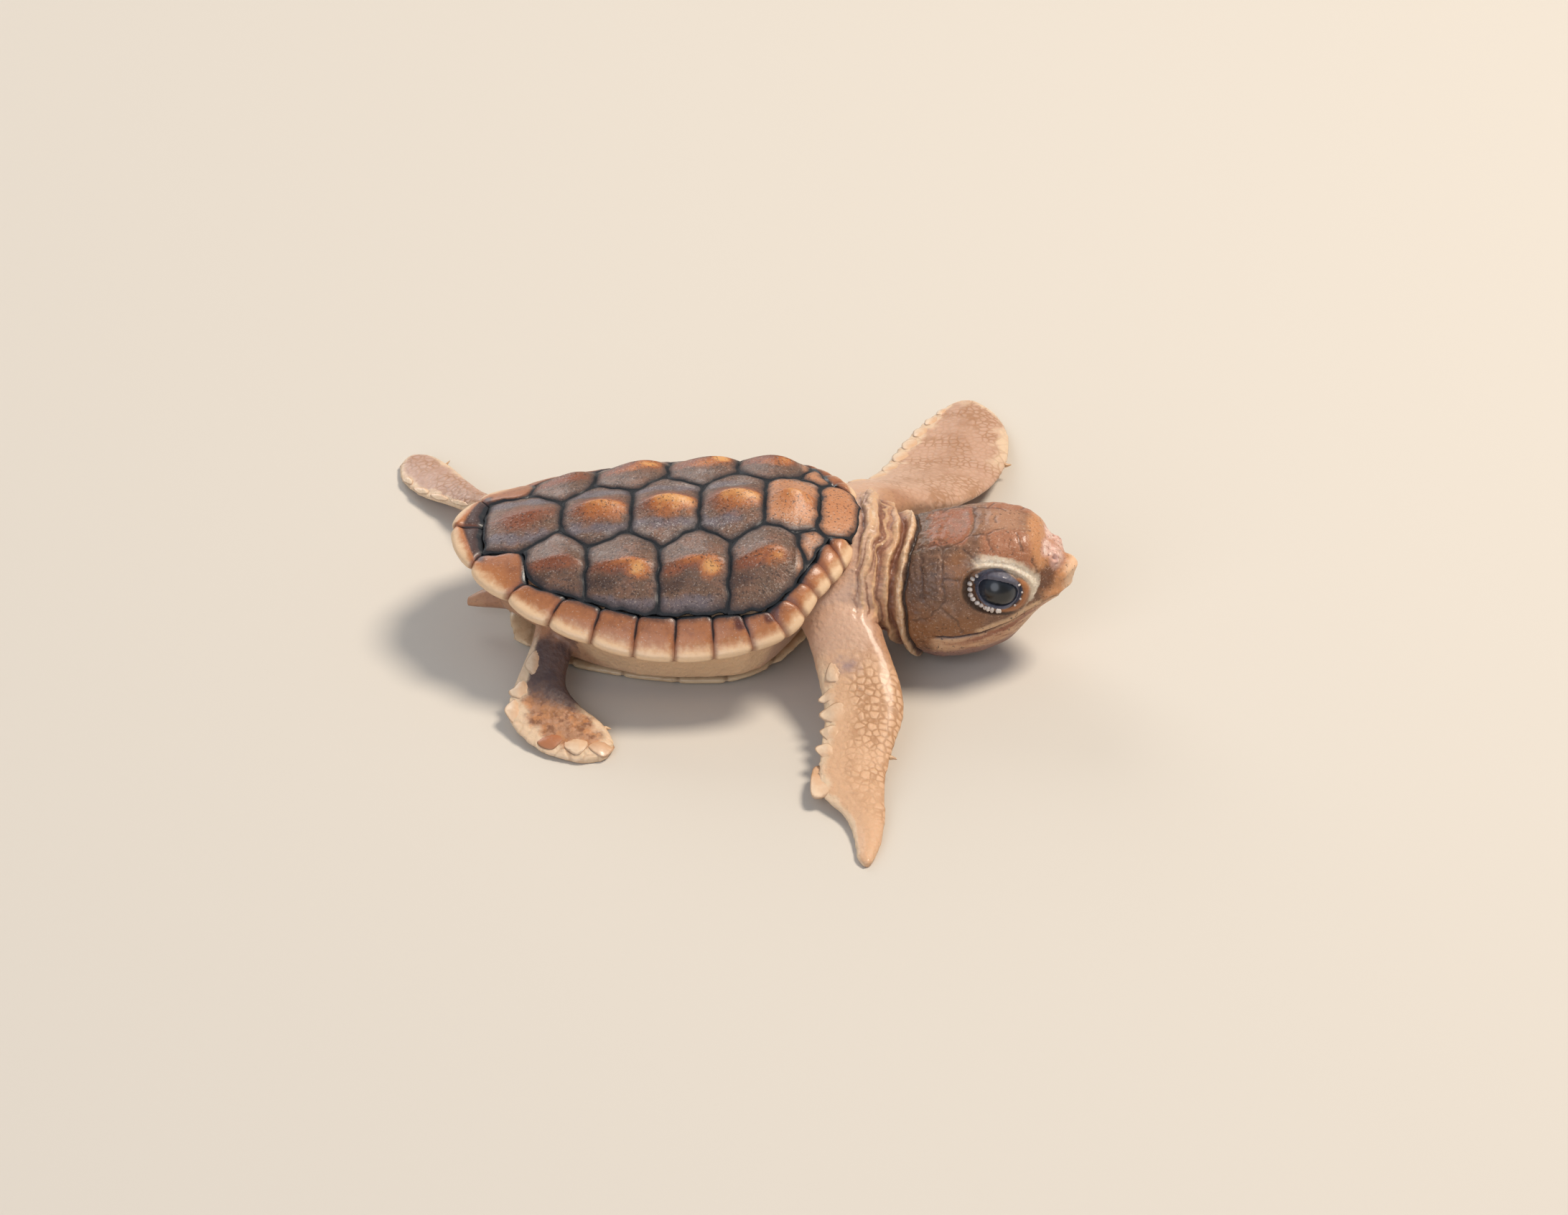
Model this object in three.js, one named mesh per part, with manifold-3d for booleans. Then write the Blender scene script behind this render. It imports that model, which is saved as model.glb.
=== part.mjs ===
// A loggerhead sea turtle hatchling, life size, crawling.
// Millimetres. +X is forward along the shell's midline, +Y is the animal's left, and z = 0 is the floor.
// Every row of a station list runs from the root of a shape to its tip.
import * as THREE from "three";
import { mergeVertices } from "three/addons/utils/BufferGeometryUtils.js";
import Module from "manifold-3d";

const wasm = await Module();
wasm.setup();

// ---------------------------------------------------------------- driving dimensions

const SIDES = { left: 1, right: -1 };
const GAP = 0.3; // open seam between neighbouring solids
const PLATE_THICK = 0.75; // horn plate over the body
const BEVEL = 0.28; // how far a plate's top drops at its seams
const EDGE_STEP = 3; // spacing of the points round a plate
const PLATE_RINGS = { under: 0.45, over: [0.86, 0.5, 0.18] }; // scales of the rings inside its outline
const BLOCK = 300; // size of the block that trims the soles flat

// Rim of the shell: seam number along the marginal plates, inner corner x, y, outer corner x, y, rim height.
const RIM = [
  [0, 19.7, 5.2, 22.4, 4.4, 14.9],
  [1, 19.5, 5.5, 21.5, 7.7, 14.5],
  [3, 16.7, 11.0, 18.8, 11.6, 13.2],
  [5, 13.4, 14.6, 15.5, 15.6, 10.8],
  [7, 7.5, 15.4, 7.7, 17.7, 9.2],
  [9, -0.8, 15.3, -1.2, 17.6, 9.1],
  [11, -9.3, 12.3, -10.7, 13.9, 10.3],
  [12, -13.2, 9.4, -15.4, 10.5, 11.2],
  [12.5, -14.1, 5.5, -17.7, 8.5, 11.7],
  [13, -18.4, 4.7, -19.7, 6.2, 12.2],
  [14, -18.9, 0.0, -22.2, 0.1, 13.0],
];
const MARGINALS = 13; // plates on each side, before the supracaudal pair
const LIP = 1.1; // height of the rounded outer edge of a marginal plate
const UNDERTURN = 2.3; // how far a marginal plate turns in under the rim
const ROOT = 0.6; // least distance that stays between that turned-in edge and the inner corners
const LAST_SEAM = 14; // the one on the midline, between the supracaudal plates
const SEAM_CLEARANCE = { front: 0.05, tail: 0.04 }; // of the first and last plates of a side, in seam numbers
const SCALLOP = { front: 0.12, rear: 0.5 }; // outward bulge of a marginal plate, and what the rear ones add

// Height of the shell along its midline, without the keel: x, z.
const SPINE = [
  [23.0, 16.2],
  [18.5, 17.2],
  [12.5, 17.7],
  [5.3, 16.8],
  [-2.3, 15.95],
  [-10.0, 14.75],
  [-18.2, 13.4],
  [-22.4, 12.9],
];
const NUCHAL_FRONT = { x: 22.9, half: 1.6 };
const NUCHAL_SHOULDER = { x: 22.3, half: 4.3 };

// Vertebral plates: cross seams at x with their half width, and the side corners between them.
const CROSS_SEAM_X = [18.5, 12.5, 5.3, -2.3, -10.1, -18.4];
const CROSS_SEAM_HALF = [4.2, 4.2, 4.0, 3.9, 2.7, 4.7];
const SIDE_CORNER_X = [16.1, 9.1, 1.2, -6.8, -14.1];
const SIDE_CORNER_HALF = [5.3, 6.8, 6.9, 6.0, 5.5];
const TAIL_POINT = 0.4; // how far the last vertebral plate reaches back between the supracaudal pair
const COSTAL_ENDS = [0, 2.5, 6.5, 8.5, 10.5, 12.5]; // where costal seams meet the rim, in seam numbers

const KEEL_HEIGHT = 1.6; // midline knobs
const SIDE_KEEL_HEIGHT = 1.15; // knobs along each costal row
const SIDE_KEEL = { y: 9.8, rearInset: 2.2, frontInset: 1.2 }; // line that they stand on
const KEEL_WIDTH = 2.1;
const KEEL_LOW = 0.25; // height of a keel at the seams, as a share of its knobs

// Limbs: leading edge x, y, trailing edge x, y, height of the middle, thickness.
const FRONT_RIGHT = [
  [24.5, -6.0, 15.0, -6.5, 9.0, 6.6],
  [26.2, -12.0, 17.6, -11.5, 7.4, 5.2],
  [28.2, -17.0, 19.2, -17.0, 5.0, 3.6],
  [28.6, -20.9, 19.9, -20.9, 3.7, 2.9],
  [27.8, -25.0, 19.7, -25.2, 2.8, 2.4],
  [27.1, -29.3, 19.6, -29.8, 1.9, 2.0],
  [27.1, -32.6, 20.2, -33.0, 1.4, 1.8],
  [27.2, -35.9, 22.8, -36.2, 0.9, 1.7],
  [27.0, -39.6, 23.9, -40.0, 0.6, 1.5],
  [26.4, -42.4, 24.3, -42.8, 0.45, 1.3],
  [25.8, -43.9, 25.2, -44.0, 0.35, 1.0],
];
const FRONT_LEFT = [
  [22.5, 6.0, 14.5, 7.5, 9.6, 6.4],
  [28.0, 13.0, 18.6, 15.2, 8.0, 4.8],
  [33.4, 18.2, 22.6, 21.8, 5.4, 3.4],
  [37.0, 25.4, 24.6, 28.8, 2.9, 2.5],
  [38.6, 31.8, 26.2, 34.6, 1.8, 2.1],
  [38.7, 38.0, 28.2, 39.6, 1.2, 1.9],
  [37.2, 43.2, 30.4, 43.8, 0.6, 1.7],
  [34.8, 46.1, 32.2, 46.2, 0.4, 1.2],
];
const HIND_RIGHT = [
  [-6.6, -6.5, -12.4, -6.0, 6.2, 5.0],
  [-8.2, -11.4, -12.8, -10.8, 4.8, 3.9],
  [-8.7, -15.6, -14.3, -15.2, 2.9, 2.8],
  [-6.8, -18.2, -15.0, -18.8, 1.8, 2.2],
  [-4.4, -20.3, -14.0, -22.0, 1.2, 1.9],
  [-2.9, -23.1, -10.8, -25.1, 0.6, 1.6],
  [-3.6, -25.6, -6.8, -26.6, 0.4, 1.2],
];
const HIND_LEFT = [
  [-8.0, 8.0, -13.0, 6.0, 6.2, 5.0],
  [-14.4, 14.6, -17.0, 11.4, 5.2, 3.8],
  [-19.4, 19.4, -21.3, 16.8, 3.4, 2.8],
  [-22.4, 24.6, -24.8, 20.4, 2.0, 2.2],
  [-24.8, 29.0, -28.0, 23.1, 1.2, 1.8],
  [-27.4, 32.0, -30.3, 26.8, 0.6, 1.6],
  [-29.4, 32.3, -30.9, 30.0, 0.4, 1.2],
];
const SERRATION = { reach: 0.9, from: 0.18, to: 0.56 }; // scales along a front trailing edge

// Head: along its axis, half width, top, bottom, height of the widest point, squareness above and below it.
const HEAD_PLACE = { x: 37.6, y: -2.0, z: 9.7, pitch: 7, yaw: -3 };
const HEAD = [
  [-11.5, 6.0, 5.0, -5.6, -0.5, 2.2, 2.2],
  [-9.0, 7.0, 6.2, -7.5, -0.8, 2.4, 2.3],
  [-5.6, 7.6, 6.9, -8.4, -0.6, 2.5, 2.5],
  [-2.0, 7.5, 7.3, -8.2, -0.2, 2.6, 2.4],
  [1.2, 6.7, 7.4, -7.4, 0.4, 3.0, 2.2],
  [4.0, 5.4, 7.1, -6.3, 0.6, 3.0, 2.1],
  [5.8, 4.4, 6.2, -5.4, 0.3, 2.8, 2.0],
  [6.7, 3.6, 4.5, -4.8, 0.0, 2.5, 2.0],
  [7.4, 3.0, 3.5, -4.3, -0.2, 2.3, 2.0],
  [8.8, 1.8, 2.2, -2.6, -0.3, 2.0, 2.0],
  [9.7, 0.6, 0.9, -1.2, -0.2, 2.0, 2.0],
];
const MOUTH = { frontHeight: -1.9, slope: -0.24, corner: -5.9 }; // cut between the beak and the lower jaw
const EYE = { radius: 2.4, along: 1.4, side: 4.9, height: 1.7 };
const LIDS = { along: 3.6, side: 2.3, height: 3.1, inset: 0.3 }; // half sizes of the bulge round each eye
const NOSTRIL = { radius: 1.3, along: 7.2, side: 1.1, height: 2.6 };

const NECK = [
  // x, y, z of the middle, half width, half height
  [17.0, 0.0, 9.2, 10.4, 4.8],
  [21.0, 0.0, 9.4, 10.2, 5.5],
  [24.0, 0.0, 9.9, 9.8, 6.5],
  [26.0, -0.5, 9.2, 8.0, 6.4],
  [28.0, -0.9, 8.7, 6.9, 6.4],
  [31.0, -1.4, 8.7, 6.2, 6.2],
  [34.0, -1.7, 9.0, 5.0, 4.8],
];
const TAIL = [
  [-13.0, 0.0, 4.4, 2.4, 2.0],
  [-16.5, 0.0, 4.0, 1.8, 1.5],
  [-19.0, 0.0, 3.4, 1.1, 1.0],
  [-20.8, 0.0, 2.9, 0.5, 0.5],
];

// Belly plate: x, half width, height of its underside.
const BELLY = [
  [-17.5, 2.2, 1.1],
  [-15.0, 5.6, 0.0],
  [-9.0, 9.6, 0.0],
  [0.0, 12.0, 0.0],
  [8.0, 12.4, 0.0],
  [13.0, 10.6, 0.5],
  [17.0, 7.0, 1.5],
  [19.5, 2.6, 2.6],
];
const BELLY_THICK = 1.1;
const BELLY_SINK = 0.2; // trimmed off at the floor, which leaves the belly one flat

// Claws: limb, place between the rows of its station list, length, radius at the root.
const CLAWS = [
  ["front_flipper_right", 4.4, 1.1, 0.45],
  ["front_flipper_left", 3.9, 1.1, 0.45],
  ["hind_flipper_right", 4.2, 1.0, 0.4],
  ["hind_flipper_left", 4.2, 1.0, 0.4],
];
const CLAW_ROOT = 0.35; // share of a claw's length that lies inside the limb, and how far its tip hooks

const SKIN = { color: 0xd9ad82, roughness: 0.55, metalness: 0 };
const HORN = { color: 0x8a5a3c, roughness: 0.6, metalness: 0 };
const RIM_HORN = { color: 0xc08352, roughness: 0.6, metalness: 0 };
const PALE_HORN = { color: 0xe6c69a, roughness: 0.6, metalness: 0 };
const CLAW_FINISH = { color: 0xd8c9a8, roughness: 0.35, metalness: 0 };
const EYE_FINISH = { color: 0x14161a, roughness: 0.08, metalness: 0 };

// ---------------------------------------------------------------- small tools

const model = new THREE.Group();

function addNode(name, solid, finish) {
  const mesh = new THREE.Mesh(geometryOf(solid), new THREE.MeshStandardMaterial(finish));
  mesh.name = name;
  model.add(mesh);
}

function geometryOf(solid) {
  const out = solid.getMesh();
  const geometry = new THREE.BufferGeometry();
  const positions = new Float32Array(out.numVert * 3);
  for (let i = 0; i < out.numVert; i++) {
    positions.set(out.vertProperties.subarray(i * out.numProp, i * out.numProp + 3), i * 3);
  }
  geometry.setAttribute("position", new THREE.BufferAttribute(positions, 3));
  geometry.setIndex(new THREE.BufferAttribute(out.triVerts, 1));
  geometry.computeVertexNormals();
  return geometry;
}

// A closed geometry as a solid, whichever way its faces were wound.
function solidOf(geometry) {
  const bare = geometry.clone();
  bare.deleteAttribute("normal");
  bare.deleteAttribute("uv");
  const merged = mergeVertices(bare, 1e-5);
  const vertProperties = new Float32Array(merged.attributes.position.array);
  const triVerts = new Uint32Array(merged.index.array);
  const made = new wasm.Manifold(new wasm.Mesh({ numProp: 3, vertProperties, triVerts }));
  if (made.volume() > 0) return made;
  for (let i = 0; i < triVerts.length; i += 3) {
    [triVerts[i + 1], triVerts[i + 2]] = [triVerts[i + 2], triVerts[i + 1]];
  }
  return new wasm.Manifold(new wasm.Mesh({ numProp: 3, vertProperties, triVerts }));
}

// Triangles that close a ring, cut in its own plane, so that a hollow section is closed rightly too.
function capFaces(ring) {
  const normal = new THREE.Vector3();
  ring.forEach((p, i) => normal.add(p.clone().cross(ring[(i + 1) % ring.length])));
  const level = new THREE.Quaternion().setFromUnitVectors(normal.normalize(), new THREE.Vector3(0, 0, 1));
  const flat = ring.map((p) => {
    const turned = p.clone().applyQuaternion(level);
    return new THREE.Vector2(turned.x, turned.y);
  });
  return THREE.ShapeUtils.triangulateShape(flat, []);
}

// Rings with the same number of points, joined in order and closed at each end.
function loft(rings) {
  const count = rings[0].length;
  const positions = rings.flat().flatMap((p) => [p.x, p.y, p.z]);
  const faces = [];
  const lastStart = (rings.length - 1) * count;
  for (let start = 0; start < lastStart; start += count) {
    for (let i = 0; i < count; i++) {
      const a = start + i;
      const b = start + ((i + 1) % count);
      faces.push(a, b, b + count, a, b + count, a + count);
    }
  }
  for (const [a, b, c] of capFaces(rings[0])) faces.push(c, b, a);
  for (const [a, b, c] of capFaces(rings.at(-1))) faces.push(lastStart + a, lastStart + b, lastStart + c);
  const geometry = new THREE.BufferGeometry();
  geometry.setAttribute("position", new THREE.Float32BufferAttribute(positions, 3));
  geometry.setIndex(faces);
  return solidOf(geometry);
}

// Smooth values between the rows of a station list, at a row position such as 2.5.
function rowAt(rows, position) {
  const last = rows.length - 1;
  const i = Math.min(Math.max(Math.floor(position), 0), last - 1);
  const t = position - i;
  const at = (k) => rows[Math.min(Math.max(k, 0), last)];
  return rows[0].map((_, c) => {
    const [p0, p1, p2, p3] = [at(i - 1)[c], at(i)[c], at(i + 1)[c], at(i + 2)[c]];
    const bend = 2 * p0 - 5 * p1 + 4 * p2 - p3;
    const twist = -p0 + 3 * p1 - 3 * p2 + p3;
    return p1 + 0.5 * t * (p2 - p0 + t * (bend + t * twist));
  });
}

// The row position at which a list's first column, steadily falling or rising, has a value.
function findRow(rows, value) {
  const falls = rows[0][0] > rows[rows.length - 1][0];
  let low = 0;
  let high = rows.length - 1;
  for (let step = 0; step < 30; step++) {
    const middle = (low + high) / 2;
    const before = rowAt(rows, middle)[0] > value;
    if (before === falls) low = middle;
    else high = middle;
  }
  return (low + high) / 2;
}

const keepLargest = (solid) =>
  solid.decompose().reduce((best, piece) => (piece.volume() > best.volume() ? piece : best));

const smoothstep = (a, b, x) => {
  const t = Math.min(Math.max((x - a) / (b - a), 0), 1);
  return t * t * (3 - 2 * t);
};

// ---------------------------------------------------------------- the shell's surface

const rimRow = (seam) => rowAt(RIM, findRow(RIM, seam));
const innerRim = (seam) => rimRow(seam).slice(1, 3);
const outerRim = (seam) => rimRow(seam).slice(3, 6);

// Half width and rim height at x, from the outer edge.
const rimByX = [];
for (let seam = 0; seam <= LAST_SEAM; seam += 0.25) rimByX.push(outerRim(seam));
function rimAt(x) {
  if (x >= rimByX[0][0]) return rimByX[0];
  const next = rimByX.findIndex((rim) => x >= rim[0]);
  if (next < 0) return rimByX.at(-1);
  const [a, b] = [rimByX[next - 1], rimByX[next]];
  const t = (a[0] - x) / (a[0] - b[0]);
  return a.map((v, c) => v + t * (b[c] - v));
}

const spineAt = (x) => rowAt(SPINE, findRow(SPINE, x))[1];

// Smooth dome: flat across the top, falling steeply near the rim.
function domeHeight(x, y) {
  const [, halfWidth, rimHeight] = rimAt(x);
  const t = Math.min(Math.abs(y) / halfWidth, 1);
  const fall = 0.6 * t ** 2 + 0.4 * t ** 6;
  return rimHeight + (spineAt(x) - rimHeight) * (1 - fall);
}

// Three rows of knobs. A knob stands highest at the middle of its plate.
function knobAlong(x, seams) {
  for (let i = 0; i + 1 < seams.length; i++) {
    const t = (seams[i] - x) / (seams[i] - seams[i + 1]);
    if (t >= 0 && t <= 1) return KEEL_LOW + (1 - KEEL_LOW) * Math.sin(Math.PI * t) ** 1.2;
  }
  return 0;
}
const ridge = (offset) => Math.exp(-((Math.abs(offset) / KEEL_WIDTH) ** 1.6));
function keelHeight(x, y) {
  const fading = smoothstep(-19, -8, x); // the keels die away towards the tail
  const middle = KEEL_HEIGHT * knobAlong(x, CROSS_SEAM_X) * ridge(y) * (0.5 + 0.5 * fading);
  const towardsTail = SIDE_KEEL.rearInset * smoothstep(0, -14, x);
  const towardsHead = SIDE_KEEL.frontInset * smoothstep(9, 16, x);
  const keelLine = SIDE_KEEL.y - towardsTail - towardsHead;
  const side = SIDE_KEEL_HEIGHT * knobAlong(x, SIDE_CORNER_X) * ridge(Math.abs(y) - keelLine);
  return middle + side * fading;
}
const shellHeight = (x, y) => domeHeight(x, y) + keelHeight(x, y);

// ---------------------------------------------------------------- shell plates

// A convex outline moved in by a distance.
function inset(outline, distance) {
  const n = outline.length;
  const area = outline.reduce((sum, [x, y], i) => {
    const [u, v] = outline[(i + 1) % n];
    return sum + x * v - u * y;
  }, 0);
  const turn = Math.sign(area);
  const lines = outline.map(([x, y], i) => {
    const [u, v] = outline[(i + 1) % n];
    const length = Math.hypot(u - x, v - y);
    const normal = [(-(v - y) / length) * turn, ((u - x) / length) * turn];
    return { normal, reach: normal[0] * x + normal[1] * y + distance };
  });
  return lines.map((line, i) => {
    const before = lines[(i + n - 1) % n];
    const cross = before.normal[0] * line.normal[1] - before.normal[1] * line.normal[0];
    if (Math.abs(cross) < 0.05) {
      const [x, y] = outline[i];
      return [x + line.normal[0] * distance, y + line.normal[1] * distance];
    }
    return [
      (before.reach * line.normal[1] - line.reach * before.normal[1]) / cross,
      (line.reach * before.normal[0] - before.reach * line.normal[0]) / cross,
    ];
  });
}

// A plate of even thickness on the dome, bevelled along its seams.
function plate(outline, grow = 0) {
  const edge = inset(outline, GAP / 2 - grow);
  const points = edge.flatMap(([x, y], i) => {
    const [u, v] = edge[(i + 1) % edge.length];
    const steps = Math.max(1, Math.round(Math.hypot(u - x, v - y) / EDGE_STEP));
    return Array.from({ length: steps }, (_, s) => [x + ((u - x) * s) / steps, y + ((v - y) * s) / steps]);
  });
  const centre = [0, 1].map((c) => points.reduce((sum, p) => sum + p[c], 0) / points.length);
  const ring = (scale, height) =>
    points.map(([px, py]) => {
      const x = centre[0] + (px - centre[0]) * scale;
      const y = centre[1] + (py - centre[1]) * scale;
      return new THREE.Vector3(x, y, height(x, y));
    });
  const under = (x, y) => domeHeight(x, y) - PLATE_THICK - grow;
  const over = (x, y) => shellHeight(x, y) + grow;
  return loft([
    ring(PLATE_RINGS.under, under),
    ring(1, under),
    ring(1, (x, y) => over(x, y) - BEVEL),
    ...PLATE_RINGS.over.map((scale) => ring(scale, over)),
  ]);
}

const crossCorner = (i, side) => [CROSS_SEAM_X[i], CROSS_SEAM_HALF[i] * side];
const sideCorner = (i, side) => [SIDE_CORNER_X[i], SIDE_CORNER_HALF[i] * side];
const innerCorner = (seam, side) => {
  const [x, y] = innerRim(seam);
  return [x, y * side];
};

for (let i = 0; i < 5; i++) {
  const tail = i === 4 ? [[CROSS_SEAM_X[5] - TAIL_POINT, 0]] : [];
  const outline = [
    crossCorner(i, 1), sideCorner(i, 1), crossCorner(i + 1, 1), ...tail,
    crossCorner(i + 1, -1), sideCorner(i, -1), crossCorner(i, -1),
  ];
  addNode(`vertebral_${i + 1}`, plate(outline), HORN);
}
const nuchalHalf = (side) => [
  crossCorner(0, side), innerCorner(0, side),
  [NUCHAL_SHOULDER.x, NUCHAL_SHOULDER.half * side], [NUCHAL_FRONT.x, NUCHAL_FRONT.half * side],
];
const NUCHAL_OUTLINE = [...nuchalHalf(-1), ...nuchalHalf(1).reverse()];
addNode("nuchal", plate(NUCHAL_OUTLINE), RIM_HORN);

for (const [sideName, side] of Object.entries(SIDES)) {
  for (let i = 0; i < 5; i++) {
    // From the front seam, along the vertebral plates, down the back seam and forward along the rim.
    const before = i === 0 ? [] : [sideCorner(i - 1, side)];
    const medial = [...before, crossCorner(i, side), sideCorner(i, side)];
    const [from, to] = [COSTAL_ENDS[i], COSTAL_ENDS[i + 1]];
    const steps = i === 0 ? 2 : 4;
    const lateral = Array.from({ length: steps + 1 }, (_, s) =>
      innerCorner(to + ((from - to) * s) / steps, side));
    addNode(`costal_${sideName}_${i + 1}`, plate([...medial, ...lateral]), HORN);
  }
}

// A marginal plate is swept along the rim: top, rounded lip, and the part turned in underneath.
function marginal(fromSeam, toSeam, side) {
  const length = Math.hypot(
    outerRim(fromSeam)[0] - outerRim(toSeam)[0],
    outerRim(fromSeam)[1] - outerRim(toSeam)[1],
  );
  const margin = ((GAP / 2) * (toSeam - fromSeam)) / length;
  const steps = fromSeam > 9 ? 4 : 2;
  const rings = Array.from({ length: steps + 1 }, (_, s) => {
    const share = s / steps;
    const seam = fromSeam + margin + (toSeam - fromSeam - 2 * margin) * share;
    const [ix, iy] = innerRim(seam);
    const [ox, oy, rim] = outerRim(seam);
    const reach = Math.hypot(ox - ix, oy - iy);
    const out = [(ox - ix) / reach, (oy - iy) / reach];
    const scallop = SCALLOP.front + SCALLOP.rear * smoothstep(8, 13, seam);
    const bulge = scallop * Math.sin(Math.PI * share);
    const turn = Math.min(UNDERTURN, reach - ROOT);
    const at = (distance, z) => new THREE.Vector3(ix + out[0] * distance, (iy + out[1] * distance) * side, z);
    const top = (distance) => domeHeight(ix + out[0] * distance, iy + out[1] * distance);
    return [
      at(GAP / 2, top(GAP / 2) - 0.25),
      at(0.45, top(0.45)),
      at(reach * 0.65, top(reach * 0.65) + 0.15),
      at(reach - 0.1, rim + 0.35),
      at(reach + 0.1 + bulge, rim - LIP * 0.45),
      at(reach - 0.5 + bulge, rim - LIP),
      at(reach - turn, rim - LIP + 0.1),
      at(reach - turn, rim - LIP + 0.6),
      at(reach - turn * 0.5, rim - 0.5),
      at(GAP / 2, top(GAP / 2) - PLATE_THICK - 0.05),
    ];
  });
  return loft(side > 0 ? rings : rings.map((ring) => ring.slice().reverse()));
}
for (const [sideName, side] of Object.entries(SIDES)) {
  for (let i = 0; i < MARGINALS; i++) {
    const number = String(i + 1).padStart(2, "0");
    const start = i === 0 ? SEAM_CLEARANCE.front : i;
    addNode(`marginal_${sideName}_${number}`, marginal(start, i + 1, side), RIM_HORN);
  }
  const end = LAST_SEAM - SEAM_CLEARANCE.tail;
  addNode(`supracaudal_${sideName}`, marginal(MARGINALS, end, side), RIM_HORN);
}

// ---------------------------------------------------------------- trunk and belly plate

// The body under the plates, as rings that follow the rim and close at the middle.
function trunkSolid(grow) {
  const outline = [];
  const sides = Object.values(SIDES);
  for (let seam = 0; seam <= 13.5; seam += 1.125) outline.push([seam, sides[0]]);
  for (let seam = 13.5; seam >= 0; seam -= 1.125) outline.push([seam, sides[1]]);
  const ring = (share, height) =>
    outline.map(([seam, side]) => {
      const [ix, iy] = innerRim(seam);
      const [ox, oy, rim] = outerRim(seam);
      const x = (ix + (ox - ix) * 0.1) * share + grow * Math.sign(ix) * 0.7;
      const y = (iy + (oy - iy) * 0.1) * share + grow;
      return new THREE.Vector3(x, y * side, height(x, y, rim));
    });
  const under = (x, y) => domeHeight(x, y) - PLATE_THICK - GAP + grow;
  return loft([
    ring(0.3, under),
    ring(0.62, under),
    ring(0.84, under),
    ring(0.97, under),
    ring(1.0, (x, y, rim) => rim - LIP * 0.5),
    ring(0.97, (x, y, rim) => rim - LIP - 0.9),
    ring(0.93, (x, y, rim) => 1.6 + 0.55 * (rim - 1.6)),
    ring(0.85, (x, y, rim) => 1.6 + 0.2 * (rim - 1.6)),
    ring(0.74, () => BELLY_THICK + 1.0 + GAP - grow),
    ring(0.4, () => BELLY_THICK + 0.5 + GAP - grow),
  ]);
}

function bellySolid(grow) {
  const rows = BELLY.length - 1;
  const outline = [];
  for (let r = 0; r <= rows; r += 0.7) outline.push([r, 1]);
  for (let r = rows; r >= 0; r -= 0.7) outline.push([r, -1]);
  const ring = (share, lift) =>
    outline.map(([r, side]) => {
      const [x, half, under] = rowAt(BELLY, r);
      const low = Math.max(under, 0);
      return new THREE.Vector3(1 + (x - 1) * share, (half + grow) * share * side, low + lift(low));
    });
  return loft([
    ring(0.5, (low) => -low - BELLY_SINK - grow),
    ring(0.9, () => -BELLY_SINK - grow),
    ring(1.0, () => 0.55),
    ring(0.98, () => BELLY_THICK + grow),
    ring(0.5, (low) => BELLY_THICK - low * 0.4 + grow),
  ]);
}

const floorTrim = solidOf(
  new THREE.BoxGeometry(BLOCK, BLOCK, BLOCK).translate(0, 0, BLOCK / 2),
);
const belly = bellySolid(0).intersect(floorTrim);
const bellyRoom = bellySolid(GAP);
const trunk = trunkSolid(0).subtract(bellyRoom);
const trunkRoom = trunkSolid(GAP);
addNode("belly_plate", belly, PALE_HORN);

// Everything of the shell, grown by the gap, that limbs, neck and tail are cut back from.
function rimRoom() {
  const pieces = Object.values(SIDES).flatMap((side) =>
    Array.from({ length: LAST_SEAM }, (_, i) => {
      const [from, to] = [Math.max(i - 0.06, 0), Math.min(i + 1.06, LAST_SEAM - 0.01)];
      const rings = [from, (from + to) / 2, to].map((seam) => {
        const [ix, iy] = innerRim(seam);
        const [ox, oy, rim] = outerRim(seam);
        const reach = Math.hypot(ox - ix, oy - iy);
        const out = [(ox - ix) / reach, (oy - iy) / reach];
        const at = (d, z) => new THREE.Vector3(ix + out[0] * d, (iy + out[1] * d) * side, z);
        const top = domeHeight(ix, iy) + 2 * GAP;
        return [
          at(-GAP, top),
          at(reach + 2 * GAP, rim + 3 * GAP),
          at(reach + 2.4 * GAP, rim - LIP - 1.2 * GAP),
          at(reach - Math.min(UNDERTURN, reach - ROOT) - GAP, rim - LIP - GAP),
          at(-GAP, rim - LIP + GAP),
        ];
      });
      return loft(rings);
    }),
  );
  return pieces.reduce((sum, piece) => sum.add(piece));
}
const nuchalRoom = plate(NUCHAL_OUTLINE, 1.5 * GAP);
const shellRoom = rimRoom().add(nuchalRoom).add(trunkRoom).add(bellyRoom);

// ---------------------------------------------------------------- limbs, neck and tail

// A flat limb: each ring is a lens between its leading and trailing edge.
function limb(rows, points, perRow, serration) {
  const rings = [];
  const steps = (rows.length - 1) * perRow;
  for (let s = 0; s <= steps; s++) {
    const along = s / steps;
    const [lx, ly, tx, ty, z, thick] = rowAt(rows, s / perRow);
    const middle = new THREE.Vector3((lx + tx) / 2, (ly + ty) / 2, z);
    const half = new THREE.Vector3(lx - tx, ly - ty, 0).multiplyScalar(0.5);
    const reach = half.length();
    half.normalize();
    const blade = smoothstep(0.2, 0.5, along);
    const ring = [];
    for (let i = 0; i < points; i++) {
      const angle = (i / points) * 2 * Math.PI;
      const across = Math.cos(angle);
      const up = Math.sin(angle) * (1 - 0.45 * blade * Math.max(-across, 0));
      let span = reach;
      if (serration && across < -0.9 && along > serration.from && along < serration.to) {
        span += serration.reach * (s % 2);
      }
      const lift = new THREE.Vector3(0, 0, (up * thick) / 2);
      ring.push(middle.clone().addScaledVector(half, across * span).add(lift));
    }
    rings.push(ring);
  }
  return loft(rings);
}

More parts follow.
